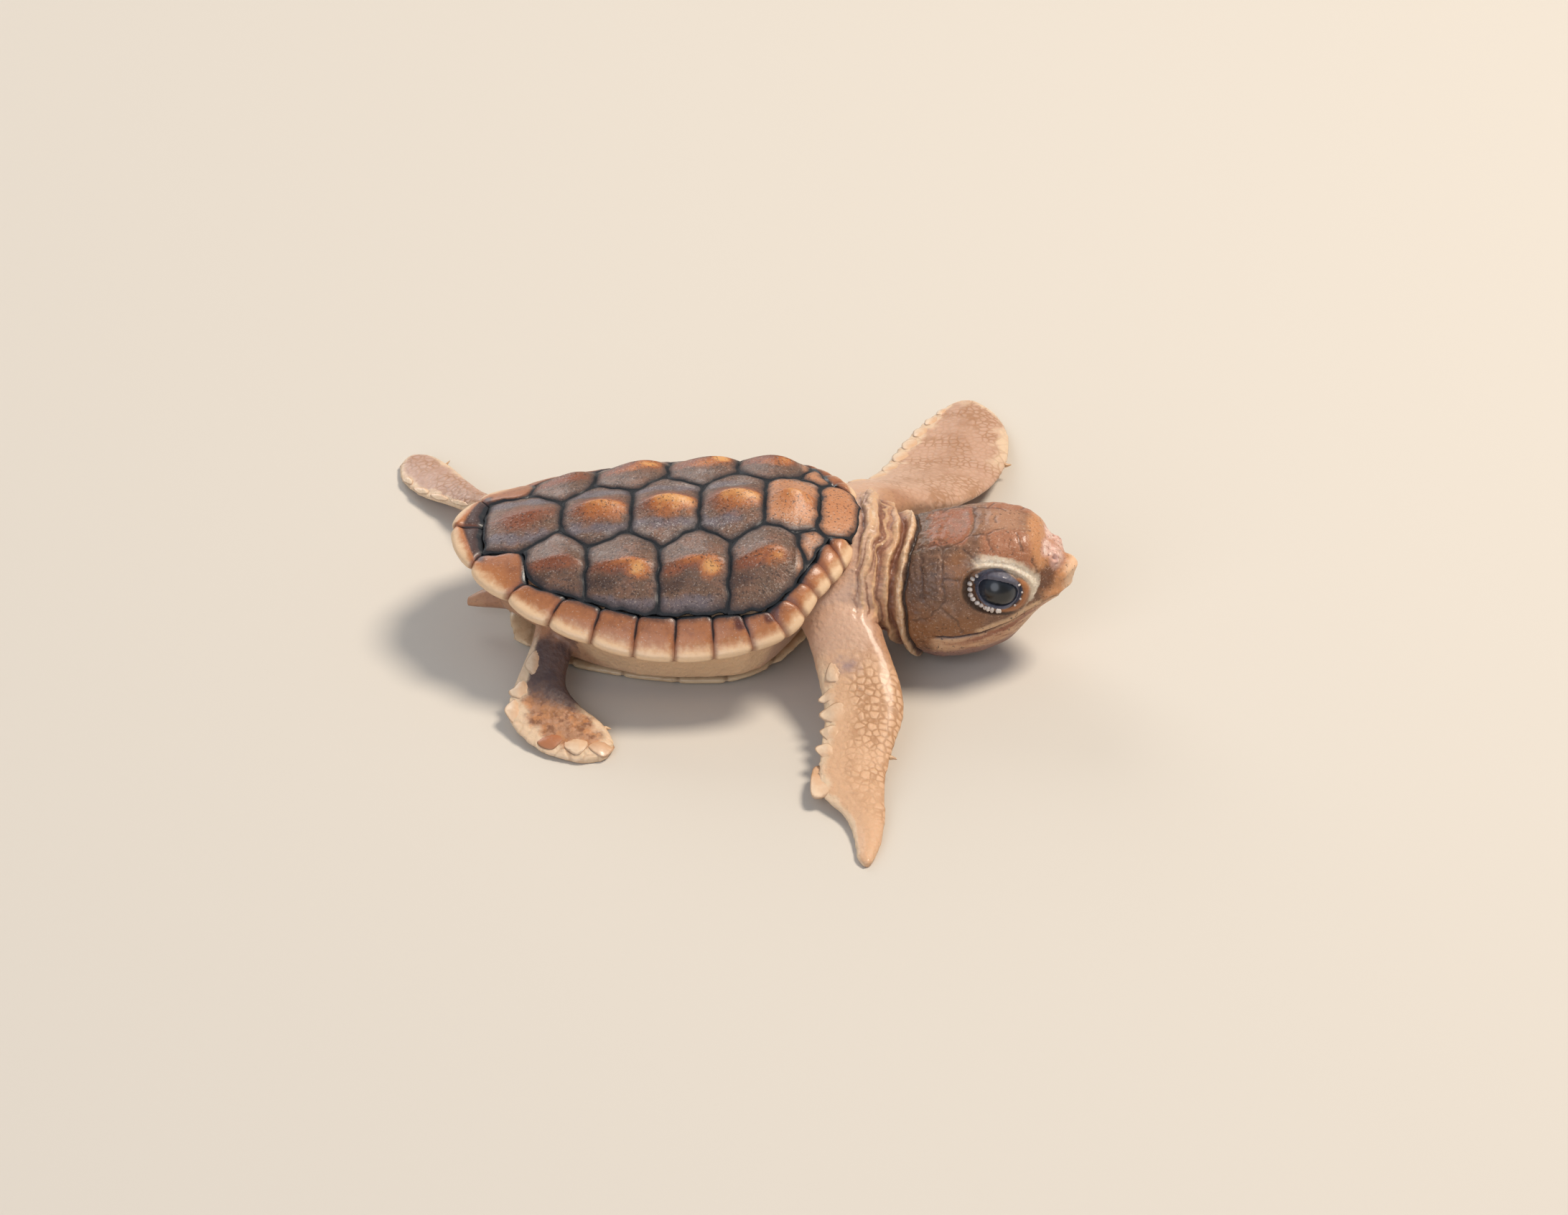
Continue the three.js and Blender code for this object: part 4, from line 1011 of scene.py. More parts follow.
def shapeHead(points, masks):
    # a, b, c are places in the head's own directions and phi the degrees round it from the crown
    local = toHead(points)
    a, b, c = local.T
    phi = np.degrees(np.arctan2(np.abs(b), c))
    onHead = step(-10.2, -9.2, a) * (points[:, 0] > 26)

    # mouth: a shut line, the lower jaw set back a little under the upper beak
    above = c - mouthHeight(a)
    mouthOn = step(-6.6, -5.4, a) * onHead
    push = -face["mouthDepth"] * band(above, -0.05, face["mouthWidth"]) * mouthOn
    push -= face["jawSetBack"] * np.exp(above / 0.9) * (above < 0) * mouthOn * step(-1.5, 3, a)
    push += 0.14 * band(above, 0.5, 0.3) * mouthOn * step(-3, 1, a)
    push -= 0.28 * band(a, 8.45, 0.5) * step(0.6, 1.6, c) * onHead

    # plates of the head, swelling between fine seams
    seams = [[[along, turn * face["perDegree"]] for along, turn in seam] for seam in face["seams"]]
    wander = 0.3 * softNoise(points, 0.8, 4)
    surface = np.stack([a, phi * face["perDegree"]], 1) + wander[:, None]
    distance = polylineDistance(surface, seams) + 5 * (1 - onHead)
    distance = np.where(above < 0.4, distance + 2, distance)
    sunk = face["seamDepth"] * band(distance, 0, face["seamWidth"])
    push -= (sunk - face["plateSwell"] * band(distance, 0.6, 0.4)) * onHead

    # where the colours of the head lie
    uneven = 3 * softNoise(points, 1.5, 2)
    temple, cheek = np.hypot(a + 6.4, (phi - 86) * 0.11), np.hypot(a + 4.1, (phi - 84) * 0.11)
    behindEye = step(-3.4, -6.4, a + 0.35 * uneven) * step(30, 40, phi) * step(92, 66, phi)
    for name, values in {
            "headBase": step(-9.6, -8.4, a),
            "crown": step(-0.9, -1.4, a + 0.02 * phi) * step(32, 25, phi + uneven),
            "crownDark": step(-4.6, -7.5, a + 0.3 * uneven) * step(44, 26, phi),
            "frontal": band(a, 2.2, 2.6) * step(24, 9, phi),
            "brow": step(-1.0, 0.8, a) * step(7.4, 5.6, a) * step(8, 22, phi) * step(62, 44, phi),
            "cheekDark": np.maximum(behindEye, band(phi, 33, 6) * step(-1.5, -3.5, a)),
            "cheekWarm": np.maximum(band(phi, 106, 24) * step(1.5, -2, a),
                                    band(phi, 48, 16) * band(a, -2.6, 1.5)),
            "cheekPale": np.maximum(band(cheek, 0.7, 0.35), band(temple, 1.2, 0.4) * 0.6),
            "beak": step(4.6, 6.6, a - 0.015 * (phi - 60)),
            "beakShade": band(a, 6.45, 1.25) * band(c, 1.75, 1.5) * step(0.6, 1.9, np.abs(b)) * 1.2,
            "beakTip": step(7.8, 9.3, a + 0.25 * np.maximum(0.8 - c, 0)) * step(2.6, 1.4, c),
            "lip": band(above, 0.55, 0.4) * step(-2.5, -0.5, a) * step(6.8, 5.0, a) * mouthOn,
            "lipLow": band(above, -0.75, 0.42) * step(-4.5, -1.5, a) * step(7.0, 4.0, a),
            "mouthLine": band(above, -0.06, 0.2) * mouthOn,
            "jaw": step(-0.1, -0.25, above) * step(-8, -5, a),
            "throat": step(-4.3, -6.2, c) * step(8, 3, a)}.items():
        masks[name] = values * onHead
    masks["headSeam"] = distance

    # nostrils: a pink swelling round each hole, its crease below, mottled pink above
    for side in (-1, 1):
        centre = np.array(face["nostril"]) * [1, side, 1]
        away = np.linalg.norm(local - centre, axis=1)
        hole = np.linalg.norm(local - np.array(face["nostrilHole"]) * [1, side, 1], axis=1)
        behind = np.linalg.norm((local - centre - [-0.6, 0.3 * side, 1.7]) / [1.2, 1.4, 0.85], axis=1)
        push += 0.1 * band(hole, 0.5, 0.2) - 0.5 * band(hole, 0, 0.27)
        push += 0.12 * band(away, 1.75, 0.45) * onHead * step(1.6, 2.6, c)
        push -= 0.1 * band(away, 1.5, 0.2) * onHead * step(2.8, 1.8, c)
        raiseMask(masks, "pink", step(2.1, 1.0, away) * step(1.0, 2.2, c))
        raiseMask(masks, "pink", 0.95 * step(1.5, 0.6, behind) * step(5.3, 6.2, a))
        raiseMask(masks, "beakShade", 1.1 * band(hole, 0, 0.3))
        raiseMask(masks, "beakShade", 0.9 * band(away, 1.62, 0.3) * step(1.9, 1.2, c))
    return push


def foldNeck(points, masks):
    x, y, z = points.T
    around = neckRound(points)
    rounded = np.sqrt(around ** 2 + 15 ** 2) - 15
    wave, uneven = 0.3 * softNoise(points, 2.2, 9), softNoise(points, 1.7, 14)
    onNeck = step(21.2, 22.6, x) * step(33.5, 32.0, x) * step(0.4, 1.5, z) * step(11.5, 9.5, np.abs(y + 0.6))
    push = np.zeros(len(points))

    def aheadOf(fold):
        return x - np.interp(rounded, fold["round"], fold["x"])

    for fold in neckFolds:
        at = aheadOf(fold) + wave
        shown = onNeck * step(fold["to"] + 8, fold["to"] - 12, around)
        shown *= step(10.5, 6.0, np.abs(y + 0.6)) * (0.8 + 0.5 * uneven)
        crest = band(at, 0, fold["width"])
        hollow = band(np.abs(at), fold["width"] * 1.75, fold["width"] * 0.6)
        push += shown * (fold["height"] * crest - 0.2 * hollow)
        raiseMask(masks, "ridge", shown * crest ** 1.5)
        # painted shade in the hollows beside each fold
        raiseMask(masks, "valleyShade", shown * hollow)

    # the lap rises slowly and drops at once, where the head comes out of it
    at = aheadOf(neckLap) + wave
    shown = onNeck * step(neckLap["to"] + 8, neckLap["to"] - 12, around)
    rise = band(np.minimum(at, 0), 0, neckLap["width"]) * step(0.16, 0.0, at)
    push += shown * (neckLap["height"] * rise - 0.22 * band(at, 0.3, 0.16))
    push -= shown * 0.35 * band(at, -1.35, 0.3)
    raiseMask(masks, "collarLine", shown * band(at, 0.24, 0.16))
    raiseMask(masks, "ridge", shown * step(-1.25, -0.35, at) * step(0.2, 0.05, at))
    # painted shade in the hollow behind the lap
    raiseMask(masks, "valleyShade", shown * band(at, -1.3, 0.4))

    fine = aheadOf(neckLap) + 2.2 * wave + 0.35 * uneven
    wrinkle = np.sin(2 * math.pi * fine / neckWrinkles["spacing"])
    wrinkled = onNeck * step(-0.9, -1.6, fine) * step(21.6, 23.6, x) * step(150, 110, around)
    push += neckWrinkles["height"] * wrinkled * wrinkle * (0.6 + 0.8 * np.clip(uneven + 0.5, 0, 1))
    push += (0.1 * softNoise(points, 0.8, 6) + 0.09 * softNoise(points, 0.42, 21)) * onNeck
    raiseMask(masks, "ridge", 0.8 * wrinkled * step(0.25, 0.9, wrinkle))
    # painted shade in the wrinkles' hollows
    raiseMask(masks, "valleyShade", 0.75 * wrinkled * step(-0.55, -0.95, wrinkle))
    masks["neckLow"] = onNeck * step(95, 130, around)

    # the head's colours stop at the lap
    ahead = step(0.0, 0.25, aheadOf(neckLap))
    for name in ("headBase", "crown", "crownDark", "cheekDark", "cheekWarm", "cheekPale", "throat", "jaw",
                 "lipLow"):
        masks[name] *= ahead
    masks["headSeam"] += 5 * (1 - ahead)
    return push


def markLimbs(points, masks):
    # cells grow larger outwards, and the edges are pale
    for name, grid in limbGrids.items():
        rows = np.array(body[name])
        plan = np.vstack([rows[:, :2], rows[:, 2:4]])
        inside = (points[:, :2] > plan.min(0) - 1.5) & (points[:, :2] < plan.max(0) + 1.5)
        index = np.flatnonzero(np.all(inside, 1))
        here = points[index]
        position, across, away = limbPlace(grid, here[:, 0], here[:, 1]).T
        share = position / (len(rows) - 1)
        middle, thick = np.array([rowAt(rows, p)[4:6] for p in position]).T
        on = (away < 0.6) & (np.abs(here[:, 2] - middle) < thick * 0.5 + 0.9)
        on = on * step(0.1, 0.24, share)
        patchy = softNoise(here, 3.0, 8)
        outer = share - 0.13 * across
        start = -0.34 if name == "hindRight" else -0.55
        laid = {"scaly": 1, limbMasks[name]: 1, "midBrown": band(across, 0.0, 0.55),
                "edgePale": step(start, start - 0.32, across + 0.28 * softNoise(here, 1.8, 3)),
                "cellular": 0.3 + 0.6 * step(-0.2, 0.3, patchy)}
        if name == "frontRight":
            laid["midBrown"] = 0.75 * laid["midBrown"]
            laid["foreBlue"] = band(here[:, 1], -15.9, 1.7) * band(across, -0.25, 0.5)
            laid["cellular"] = (step(0.72, 0.28, share + 0.2 * patchy - 0.14 * across)
                                * step(-0.7, 0.1, across + 0.3 * patchy))
        else:
            wobble = 0.3 * softNoise(here, 2.0, 17)
            front = step(0.5, 0.95, across + wobble) * step(0.42, 0.62, share)
            tip = step(0.84, 0.97, share + 0.3 * wobble)
            laid["edgePale"] = np.maximum(laid["edgePale"], np.maximum(front, tip))
        if name == "hindRight":
            # painted shadow over the near hind flipper's root half
            laid["hindRootShadow"] = step(0.66, 0.4, outer)
            laid["cellular"] = laid["cellular"] * step(0.35, 0.7, outer)
        for mask, values in laid.items():
            raiseMask(masks, mask, on * values, index)


def shapeSkin(skin):
    points, normals = readPoints(skin), readNormals(skin)
    masks = defaultdict(lambda: np.zeros(len(points)))
    points = tuckJaw(points)
    push = shapeHead(points, masks) + foldNeck(points, masks)
    points, push = layUnderShell(points, push)
    x, y, z = points.T
    masks["shoulder"] = step(1.5, 5, z) * step(10, 14, x) * step(27, 23, x)
    masks["bridge"] = step(16, 12, x) * step(-12, -8, x) * step(11, 13.5, np.abs(y))
    markLimbs(points, masks)
    calm = 1 - np.clip(masks.pop("scaly") * 0.5, 0, 1)
    push += 0.05 * softNoise(points, 1.3, 1) * calm
    points = points + normals * push[:, None]
    for side in (-1, 1):
        local = toHead(points)
        points = points + (shapeEye(local, side, masks) - local) @ headTurn.T
    points[:, 2] = np.maximum(points[:, 2], 0.02)
    writePoints(skin, points)
    writeMasks(skin, masks)


def refineSkin(skin):
    # head and neck carry the finest folds, so their faces are divided once more
    points = readPoints(skin)
    x, y, z = points.T
    near = (toHead(points)[:, 0] > -10.8) | ((x > 22.3) & (np.abs(y + 0.6) < 9.5) & (z > 2.5))
    near &= (x > 22) & (np.abs(y + 1) < 10.5)
    choose(skin)
    bpy.ops.object.mode_set(mode="EDIT")
    bpy.ops.mesh.select_all(action="DESELECT")
    bpy.ops.object.mode_set(mode="OBJECT")
    faces = [bool(near[face.vertices[0]] and near[face.vertices[-1]]) for face in skin.data.polygons]
    skin.data.polygons.foreach_set("select", faces)
    bpy.ops.object.mode_set(mode="EDIT")
    bpy.ops.mesh.select_mode(type="FACE")
    bpy.ops.mesh.subdivide(number_cuts=1, smoothness=0)
    bpy.ops.mesh.select_mode(type="VERT")
    bpy.ops.object.mode_set(mode="OBJECT")
    points = readPoints(skin)
    chosen = np.flatnonzero((toHead(points)[:, 0] > -11) & (points[:, 0] > 22))
    skin.vertex_groups.new(name="fine").add([int(i) for i in chosen], 1.0, "REPLACE")
    applyModifier(skin, "SMOOTH", {"iterations": 3, "factor": 0.5, "vertex_group": "fine"})
    skin.vertex_groups.clear()


skin = makeBodyForm()
print("the body's form has %d points" % len(skin.data.vertices))
refineSkin(skin)
shapeSkin(skin)
applyModifier(skin, "DECIMATE", {"ratio": body["keep"]})  # thins the calm parts
print("head, neck folds and limbs are shaped, %d faces" % len(skin.data.polygons))


# wet reptile skin: thin keratin over soft tissue, tan with brown seams between its scales, shining where wet
skinLook = {
    "base": 0xb98c6b,
    "layers": [
        (None, 3.0, 0, (0.42, 0.66), 0xa3745a, 0.6, {"detail": 4}),
        (None, 0.5, 0, (0.52, 0.72), 0x8c6450, 0.5, {"detail": 3}),
        ("shoulder", 1.4, 0.5, (0.4, 1.2), 0xcca78d, 0.9),
        ("bridge", 1.2, 0.4, (0.4, 1.2), 0xd8b48e, 0.9),
        ("neckLow", 1.5, 0.5, (0.4, 1.2), 0x87695f, 0.8),
        # painted shade in the hollows of the neck folds
        ("valleyShade", 0.5, 0.5, (0.3, 1.15), 0x744634, 0.8),
        ("ridge", 0.6, 0.5, (0.4, 1.25), 0xd3ab82, 0.85),
        ("ridge", 0.4, 1.2, (1.45, 1.75), 0xe6cdb0, 0.6, {"detail": 3}),
        ("headBase", 2.2, 0.3, (0.3, 0.9), 0x8b654b, 1.0),
        ("headBase", 1.1, 1.4, (1.5, 1.9), 0x6d4b38, 0.7, {"detail": 4}),
        ("cheekDark", 1.8, 0.7, (0.55, 1.3), 0x5f4637, 0.72),
        ("cheekWarm", 1.6, 0.7, (0.6, 1.4), 0x8e5d36, 0.8),
        ("cheekPale", 0.9, 0.5, (0.5, 1.3), 0x9f8270, 0.35),
        ("crown", 1.2, 0.5, (0.35, 1.1), 0x9c6144, 0.85),
        ("crown", 0.8, 1.5, (1.65, 2.0), 0x7a5840, 0.6, {"detail": 4}),
        ("crownDark", 0.7, 0.8, (0.6, 1.35), 0x5d4a38, 0.8, {"detail": 3}),
        ("frontal", 1.2, 0.6, (0.45, 1.2), 0xad7f61, 0.85),
        ("brow", 1.0, 0.6, (0.45, 1.25), 0xa56c4c, 0.85),
        ("beak", 0.9, 0.6, (0.4, 1.3), 0xc0875a, 1.0),
        ("beakShade", 0.5, 0.5, (0.35, 1.1), 0x5f3721, 0.92),
        ("beakTip", 0.5, 0.4, (0.3, 1.2), 0xe6bd98, 0.95),
        ("pink", 0.6, 0.6, (0.4, 1.3), 0xd9b0a2, 0.95),
        # whitish flecks on the pink: painted glints
        ("pink", 0.45, 1.3, (1.4, 1.8), 0xeedacc, 0.6, {"detail": 3}),
        ("pink", 0.5, -1.6, (0.2, -0.1), 0xa8705a, 0.5, {"detail": 3, "within": "pink", "seed": 4}),
        ("jaw", 0.9, 0.4, (0.4, 1.1), 0xc99f7b, 1.0),
        ("jaw", 1.4, 1.3, (1.55, 1.95), 0x96593c, 0.8, {"stretch": (0.4, 1, 2.2)}),
        ("throat", 1.5, 0.5, (0.4, 1.2), 0x8f6a61, 0.9),
        ("lipLow", 0.6, 0.5, (0.45, 1.2), 0x874a33, 0.8),
        ("lip", 0.6, 0.5, (0.45, 1.2), 0xd3ac84, 0.85),
        ("headBase", 0.35, 1.4, (1.84, 2.0), 0x3a2a22, 0.7, {"detail": 2}),
        ("headBase", 0.25, 1.4, (1.78, 2.02), 0xd2b39c, 0.4, {"detail": 2, "seed": 5}),
        ("headSeam", 0.4, -0.3, (0.1, -0.16), 0x4f3427, 0.65),
        ("collarLine", 0.3, 0.2, (0.3, 0.9), 0x2e1f19, 0.9),
        ("mouthLine", 0.3, 0.2, (0.3, 0.95), 0x3a2018, 0.95),
        ("lidShade", 0.6, 0.3, (0.3, 1.0), 0x3b2a1e, 0.9),
        ("lidPale", 0.45, 0.7, (0.4, 1.2), 0xd8c5ac, 0.95),
        # whitish flecks on the pale lid arc: painted highlights
        ("lidPale", 0.3, 1.4, (1.6, 1.9), 0xf0e4d0, 0.7, {"detail": 2}),
        ("lidBrown", 0.3, 0.5, (0.4, 1.15), 0xa3683c, 0.9),
        ("lidEdge", 0.5, 0.4, (0.35, 1.0), 0x5b5c69, 0.95),
        ("foreNear", 1.5, 0.3, (0.3, 0.9), 0xd7ad88, 0.9),
        ("foreFar", 1.5, 0.3, (0.3, 0.9), 0xc9a187, 0.9),
        ("hindNear", 1.5, 0.3, (0.3, 0.9), 0xb18467, 0.9),
        ("hindNear", 1.1, 1.6, (1.68, 1.98), 0x6f432c, 0.85, {"detail": 4}),
        ("hindNear", 1.0, 1.5, (1.7, 1.95), 0xc98c5c, 0.7, {"detail": 3, "seed": 5}),
        ("hindFar", 1.5, 0.3, (0.3, 0.9), 0xbd9a88, 0.9),
        ("midBrown", 1.6, 1.2, (1.25, 1.8), 0xa37656, 0.5, {"detail": 4}),
        ("foreBlue", 1.2, 0.7, (0.55, 1.25), 0x81727f, 0.75),
        # painted shadow on the near hind flipper's root
        ("hindRootShadow", 1.3, 0.5, (0.5, 1.2), 0x4f4446, 0.88),
        ("edgePale", 0.8, 0.9, (0.55, 1.5), 0xdec2a2, 0.95, {"detail": 3}),
    ],
    "cellSizes": (0.85, 1.9), "cellSeam": 0x9a6a3f, "cellSeamWidth": 0.17, "cellPillow": 0.34,
    "cellHeight": 0.07,
    "roughness": 0.5, "ior": 1.4, "scatter": 0.12, "coat": 0.24, "coatRoughness": 0.13,
    "grains": [(0.8, 0.08), (0.5, 0.1, "cells"), (0.2, 0.03)],
}


def makeSkinMaterial(look):
    material, tree = startMaterial("wetReptileSkin")
    colour = paintLayers(tree, look["base"], look["layers"])
    normal = grainBump(tree, look["grains"])
    place = addNode(tree, "TexCoord").outputs["Object"]
    scaly = addNode(tree, "Attribute", {"attribute_name": "cellular"}).outputs["Fac"]
    pale = addNode(tree, "Attribute", {"attribute_name": "edgePale"}).outputs["Fac"]
    flat = addNode(tree, "Mapping", {"Scale": (1, 1, 0.3)}, {"Vector": place}).outputs[0]
    bent = addNode(tree, "TexNoise", {"Scale": 500.0, "Detail": 1.0}, {"Vector": place}).outputs["Color"]
    moved = addNode(tree, "VectorMath", {"operation": "MULTIPLY_ADD", 1: (0.5 * mm,) * 3},
                    {0: bent, 2: flat}).outputs[0]
    edges = []
    for size in look["cellSizes"]:
        cells = addNode(tree, "TexVoronoi", {"feature": "DISTANCE_TO_EDGE", "Scale": 1000 / size,
                        "Randomness": 0.75}, {"Vector": moved}).outputs["Distance"]
        edges.append(addNode(tree, "Math", {"operation": "MULTIPLY", 1: size}, {0: cells}).outputs[0])
    choice = addNode(tree, "MapRange", {"From Min": 0.45, "From Max": 0.55}, {"Value": pale}).outputs[0]
    edge = addNode(tree, "Mix", {"data_type": "FLOAT"}, {0: choice, 2: edges[0], 3: edges[1]}).outputs[0]
    seam = addNode(tree, "MapRange", {"interpolation_type": "SMOOTHSTEP", "From Min": look["cellSeamWidth"],
                   "From Max": 0.03}, {"Value": edge}).outputs[0]
    shown = addNode(tree, "Math", {"operation": "MULTIPLY"}, {0: seam, 1: scaly}).outputs[0]
    faint = addNode(tree, "MapRange", {"To Min": 0.68, "To Max": 0.3}, {"Value": pale}).outputs[0]
    shown = addNode(tree, "Math", {"operation": "MULTIPLY"}, {0: shown, 1: faint}).outputs[0]
    colour = addNode(tree, "Mix", {"data_type": "RGBA", 7: linearColour(look["cellSeam"])},
                     {0: shown, 6: colour}).outputs[2]
    pillow = addNode(tree, "MapRange", {"interpolation_type": "SMOOTHSTEP", "From Min": 0.0,
                     "From Max": look["cellPillow"]}, {"Value": edge}).outputs[0]
    pillow = addNode(tree, "Math", {"operation": "MULTIPLY"}, {0: pillow, 1: scaly}).outputs[0]
    normal = addNode(tree, "Bump", {"Strength": 1.0, "Distance": look["cellHeight"] * mm},
                     {"Height": pillow, "Normal": normal}).outputs[0]
    shader = addNode(tree, "BsdfPrincipled", {
        "Roughness": look["roughness"], "IOR": look["ior"], "Coat Weight": look["coat"],
        "Coat Roughness": look["coatRoughness"], "Subsurface Weight": look["scatter"],
        "Subsurface Radius": (1.0, 0.45, 0.25), "Subsurface Scale": 0.6 * mm},
        {"Base Color": colour, "Normal": normal})
    addNode(tree, "OutputMaterial", {}, {"Surface": shader.outputs[0]})
    return material


skinMaterial = makeSkinMaterial(skinLook)
finishPiece(skin, "skin", "root", skinMaterial)
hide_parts("head", "lower_jaw", "neck", "trunk", "front_flipper_left", "front_flipper_right",
            "hind_flipper_left", "hind_flipper_right", "tail")
print("skin is painted")


# eyes: wet and nearly black, with a painted bluish sheen of sky reflection round the dark pupil
eyeball = {"radius": 2.33, "segments": 64, "rings": 40, "colour": 0x08090b, "sheen": 0x232b36,
           "roughness": 0.3, "coat": 0.5, "coatRoughness": 0.16,
           "pupil": (0.45, 0.8), "pupilAt": (0.08, -0.16)}


def makeEyes():
    material, tree = startMaterial("wetCornea")
    look = addNode(tree, "Attribute", {"attribute_name": "offAxis"}).outputs["Fac"]
    amount = addNode(tree, "MapRange", {"interpolation_type": "SMOOTHSTEP", "From Min": eyeball["pupil"][0],
                     "From Max": eyeball["pupil"][1]}, {"Value": look}).outputs[0]
    colour = addNode(tree, "Mix", {"data_type": "RGBA", 6: linearColour(eyeball["colour"]),
                     # away from the pupil the colour is a painted sky reflection
                     7: linearColour(eyeball["sheen"])}, {0: amount}).outputs[2]
    shader = addNode(tree, "BsdfPrincipled",
                     {"Roughness": eyeball["roughness"], "Coat Weight": eyeball["coat"],
                      "Coat Roughness": eyeball["coatRoughness"]}, {"Base Color": colour})
    addNode(tree, "OutputMaterial", {}, {"Surface": shader.outputs[0]})
    for sideName, side in sides.items():
        ball = startBall(eyeball["segments"], eyeball["rings"])
        centre, axis, along, up = eyeFrame(side)
        unit = readPoints(ball) * mm
        writePoints(ball, fromHead(centre + unit * eyeball["radius"]))
        forward, upward = unit @ along - eyeball["pupilAt"][0], unit @ up - eyeball["pupilAt"][1]
        writeMasks(ball, {"offAxis": np.where(unit @ axis > 0, np.hypot(forward, upward), 2.0)})
        name = "eye_%s_ball" % sideName
        finishPiece(ball, name, "root", material)
        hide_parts("eye_" + sideName)


makeEyes()
print("eyes are in")


# the lower shell: pale waxy keratin with darker seams between its plates
plastron = {
    "voxel": 0.4, "smoothing": 9, "inset": 0.05, "narrow": (0.97, 0.93), "middleAt": (1.0, 0.0),
    "cross": [14.5, 9.5, 4.0, -2.5, -8.5, -13.5], "sideSeam": 8.2,
    "horn": {
        "base": 0xd8bd97,
        "layers": [
            (None, 2.4, 0, (0.42, 0.68), 0xc7a27a, 0.8, {"detail": 4}),
            (None, 0.5, 0, (0.55, 0.75), 0xa98561, 0.5, {"detail": 3}),
            ("seam", 0.5, -0.4, (0.25, -0.15), 0x9a7a5c, 0.7),
        ],
        "roughness": 0.38, "seamRoughness": 0.55, "ior": 1.5, "coat": 0.25, "coatRoughness": 0.18,
        "grains": [(1.1, 0.05), (0.3, 0.03)],
    },
}


def makePlastron():
    piece = mergedCopy("belly_plate")
    remeshSmooth(piece, plastron)
    points = readPoints(piece)
    wander = 0.35 * softNoise(points, 3.0, 5)
    x, y = points[:, 0] + wander, points[:, 1] + wander
    lines = [np.abs(y), np.abs(np.abs(y) - plastron["sideSeam"]) + 3 * step(10, 12, np.abs(x))]
    lines += [np.abs(x - at + 0.05 * np.abs(y)) for at in plastron["cross"]]
    distance = np.min(lines, axis=0)
    points[:, :2] = (points[:, :2] - plastron["middleAt"]) * plastron["narrow"] + plastron["middleAt"]
    points += readNormals(piece) * (-plastron["inset"] - 0.18 * band(distance, 0, 0.3))[:, None]
    points[:, 2] = np.maximum(points[:, 2], 0.0)
    writePoints(piece, points)
    writeMasks(piece, {"seam": distance})
    finishPiece(piece, "belly_horn", "root", makeHorn("waxyPlastronKeratin", plastron["horn"]))
    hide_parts("belly_plate")


makePlastron()
print("lower shell is modelled")


# claws: short blunt horn points
claw = {"levels": 2, "short": 0.22, "slim": 0.85, "horn": {
    "base": 0xc4996f,
    "layers": [
        (None, 0.5, 0, (0.4, 0.7), 0xd9b78f, 0.8, {"detail": 3}),
    ],
    "roughness": 0.34, "seamRoughness": 0.34, "ior": 1.5, "coat": 0.3, "coatRoughness": 0.16,
    "grains": [(0.3, 0.02)]}}


def makeClaws():
    horn = makeHorn("clawKeratin", claw["horn"])
    for name in ("claw_front_left", "claw_front_right", "claw_hind_left", "claw_hind_right"):
        piece = mergedCopy(name)
        points = readPoints(piece)
        tip = np.argmax(np.linalg.norm(points - points.mean(0), axis=1))
        base = np.delete(points, tip, 0).mean(0)
        kept = np.where(np.arange(len(points)) == tip, claw["short"], claw["slim"])
        writePoints(piece, base + (points - base) * kept[:, None])
        applyModifier(piece, "SUBSURF", {"levels": claw["levels"], "render_levels": claw["levels"]})
        writeMasks(piece, {"seam": np.ones(len(piece.data.vertices))})
        finishPiece(piece, name + "_horn", "root", horn)
        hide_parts(name)


makeClaws()
print("claws are in")


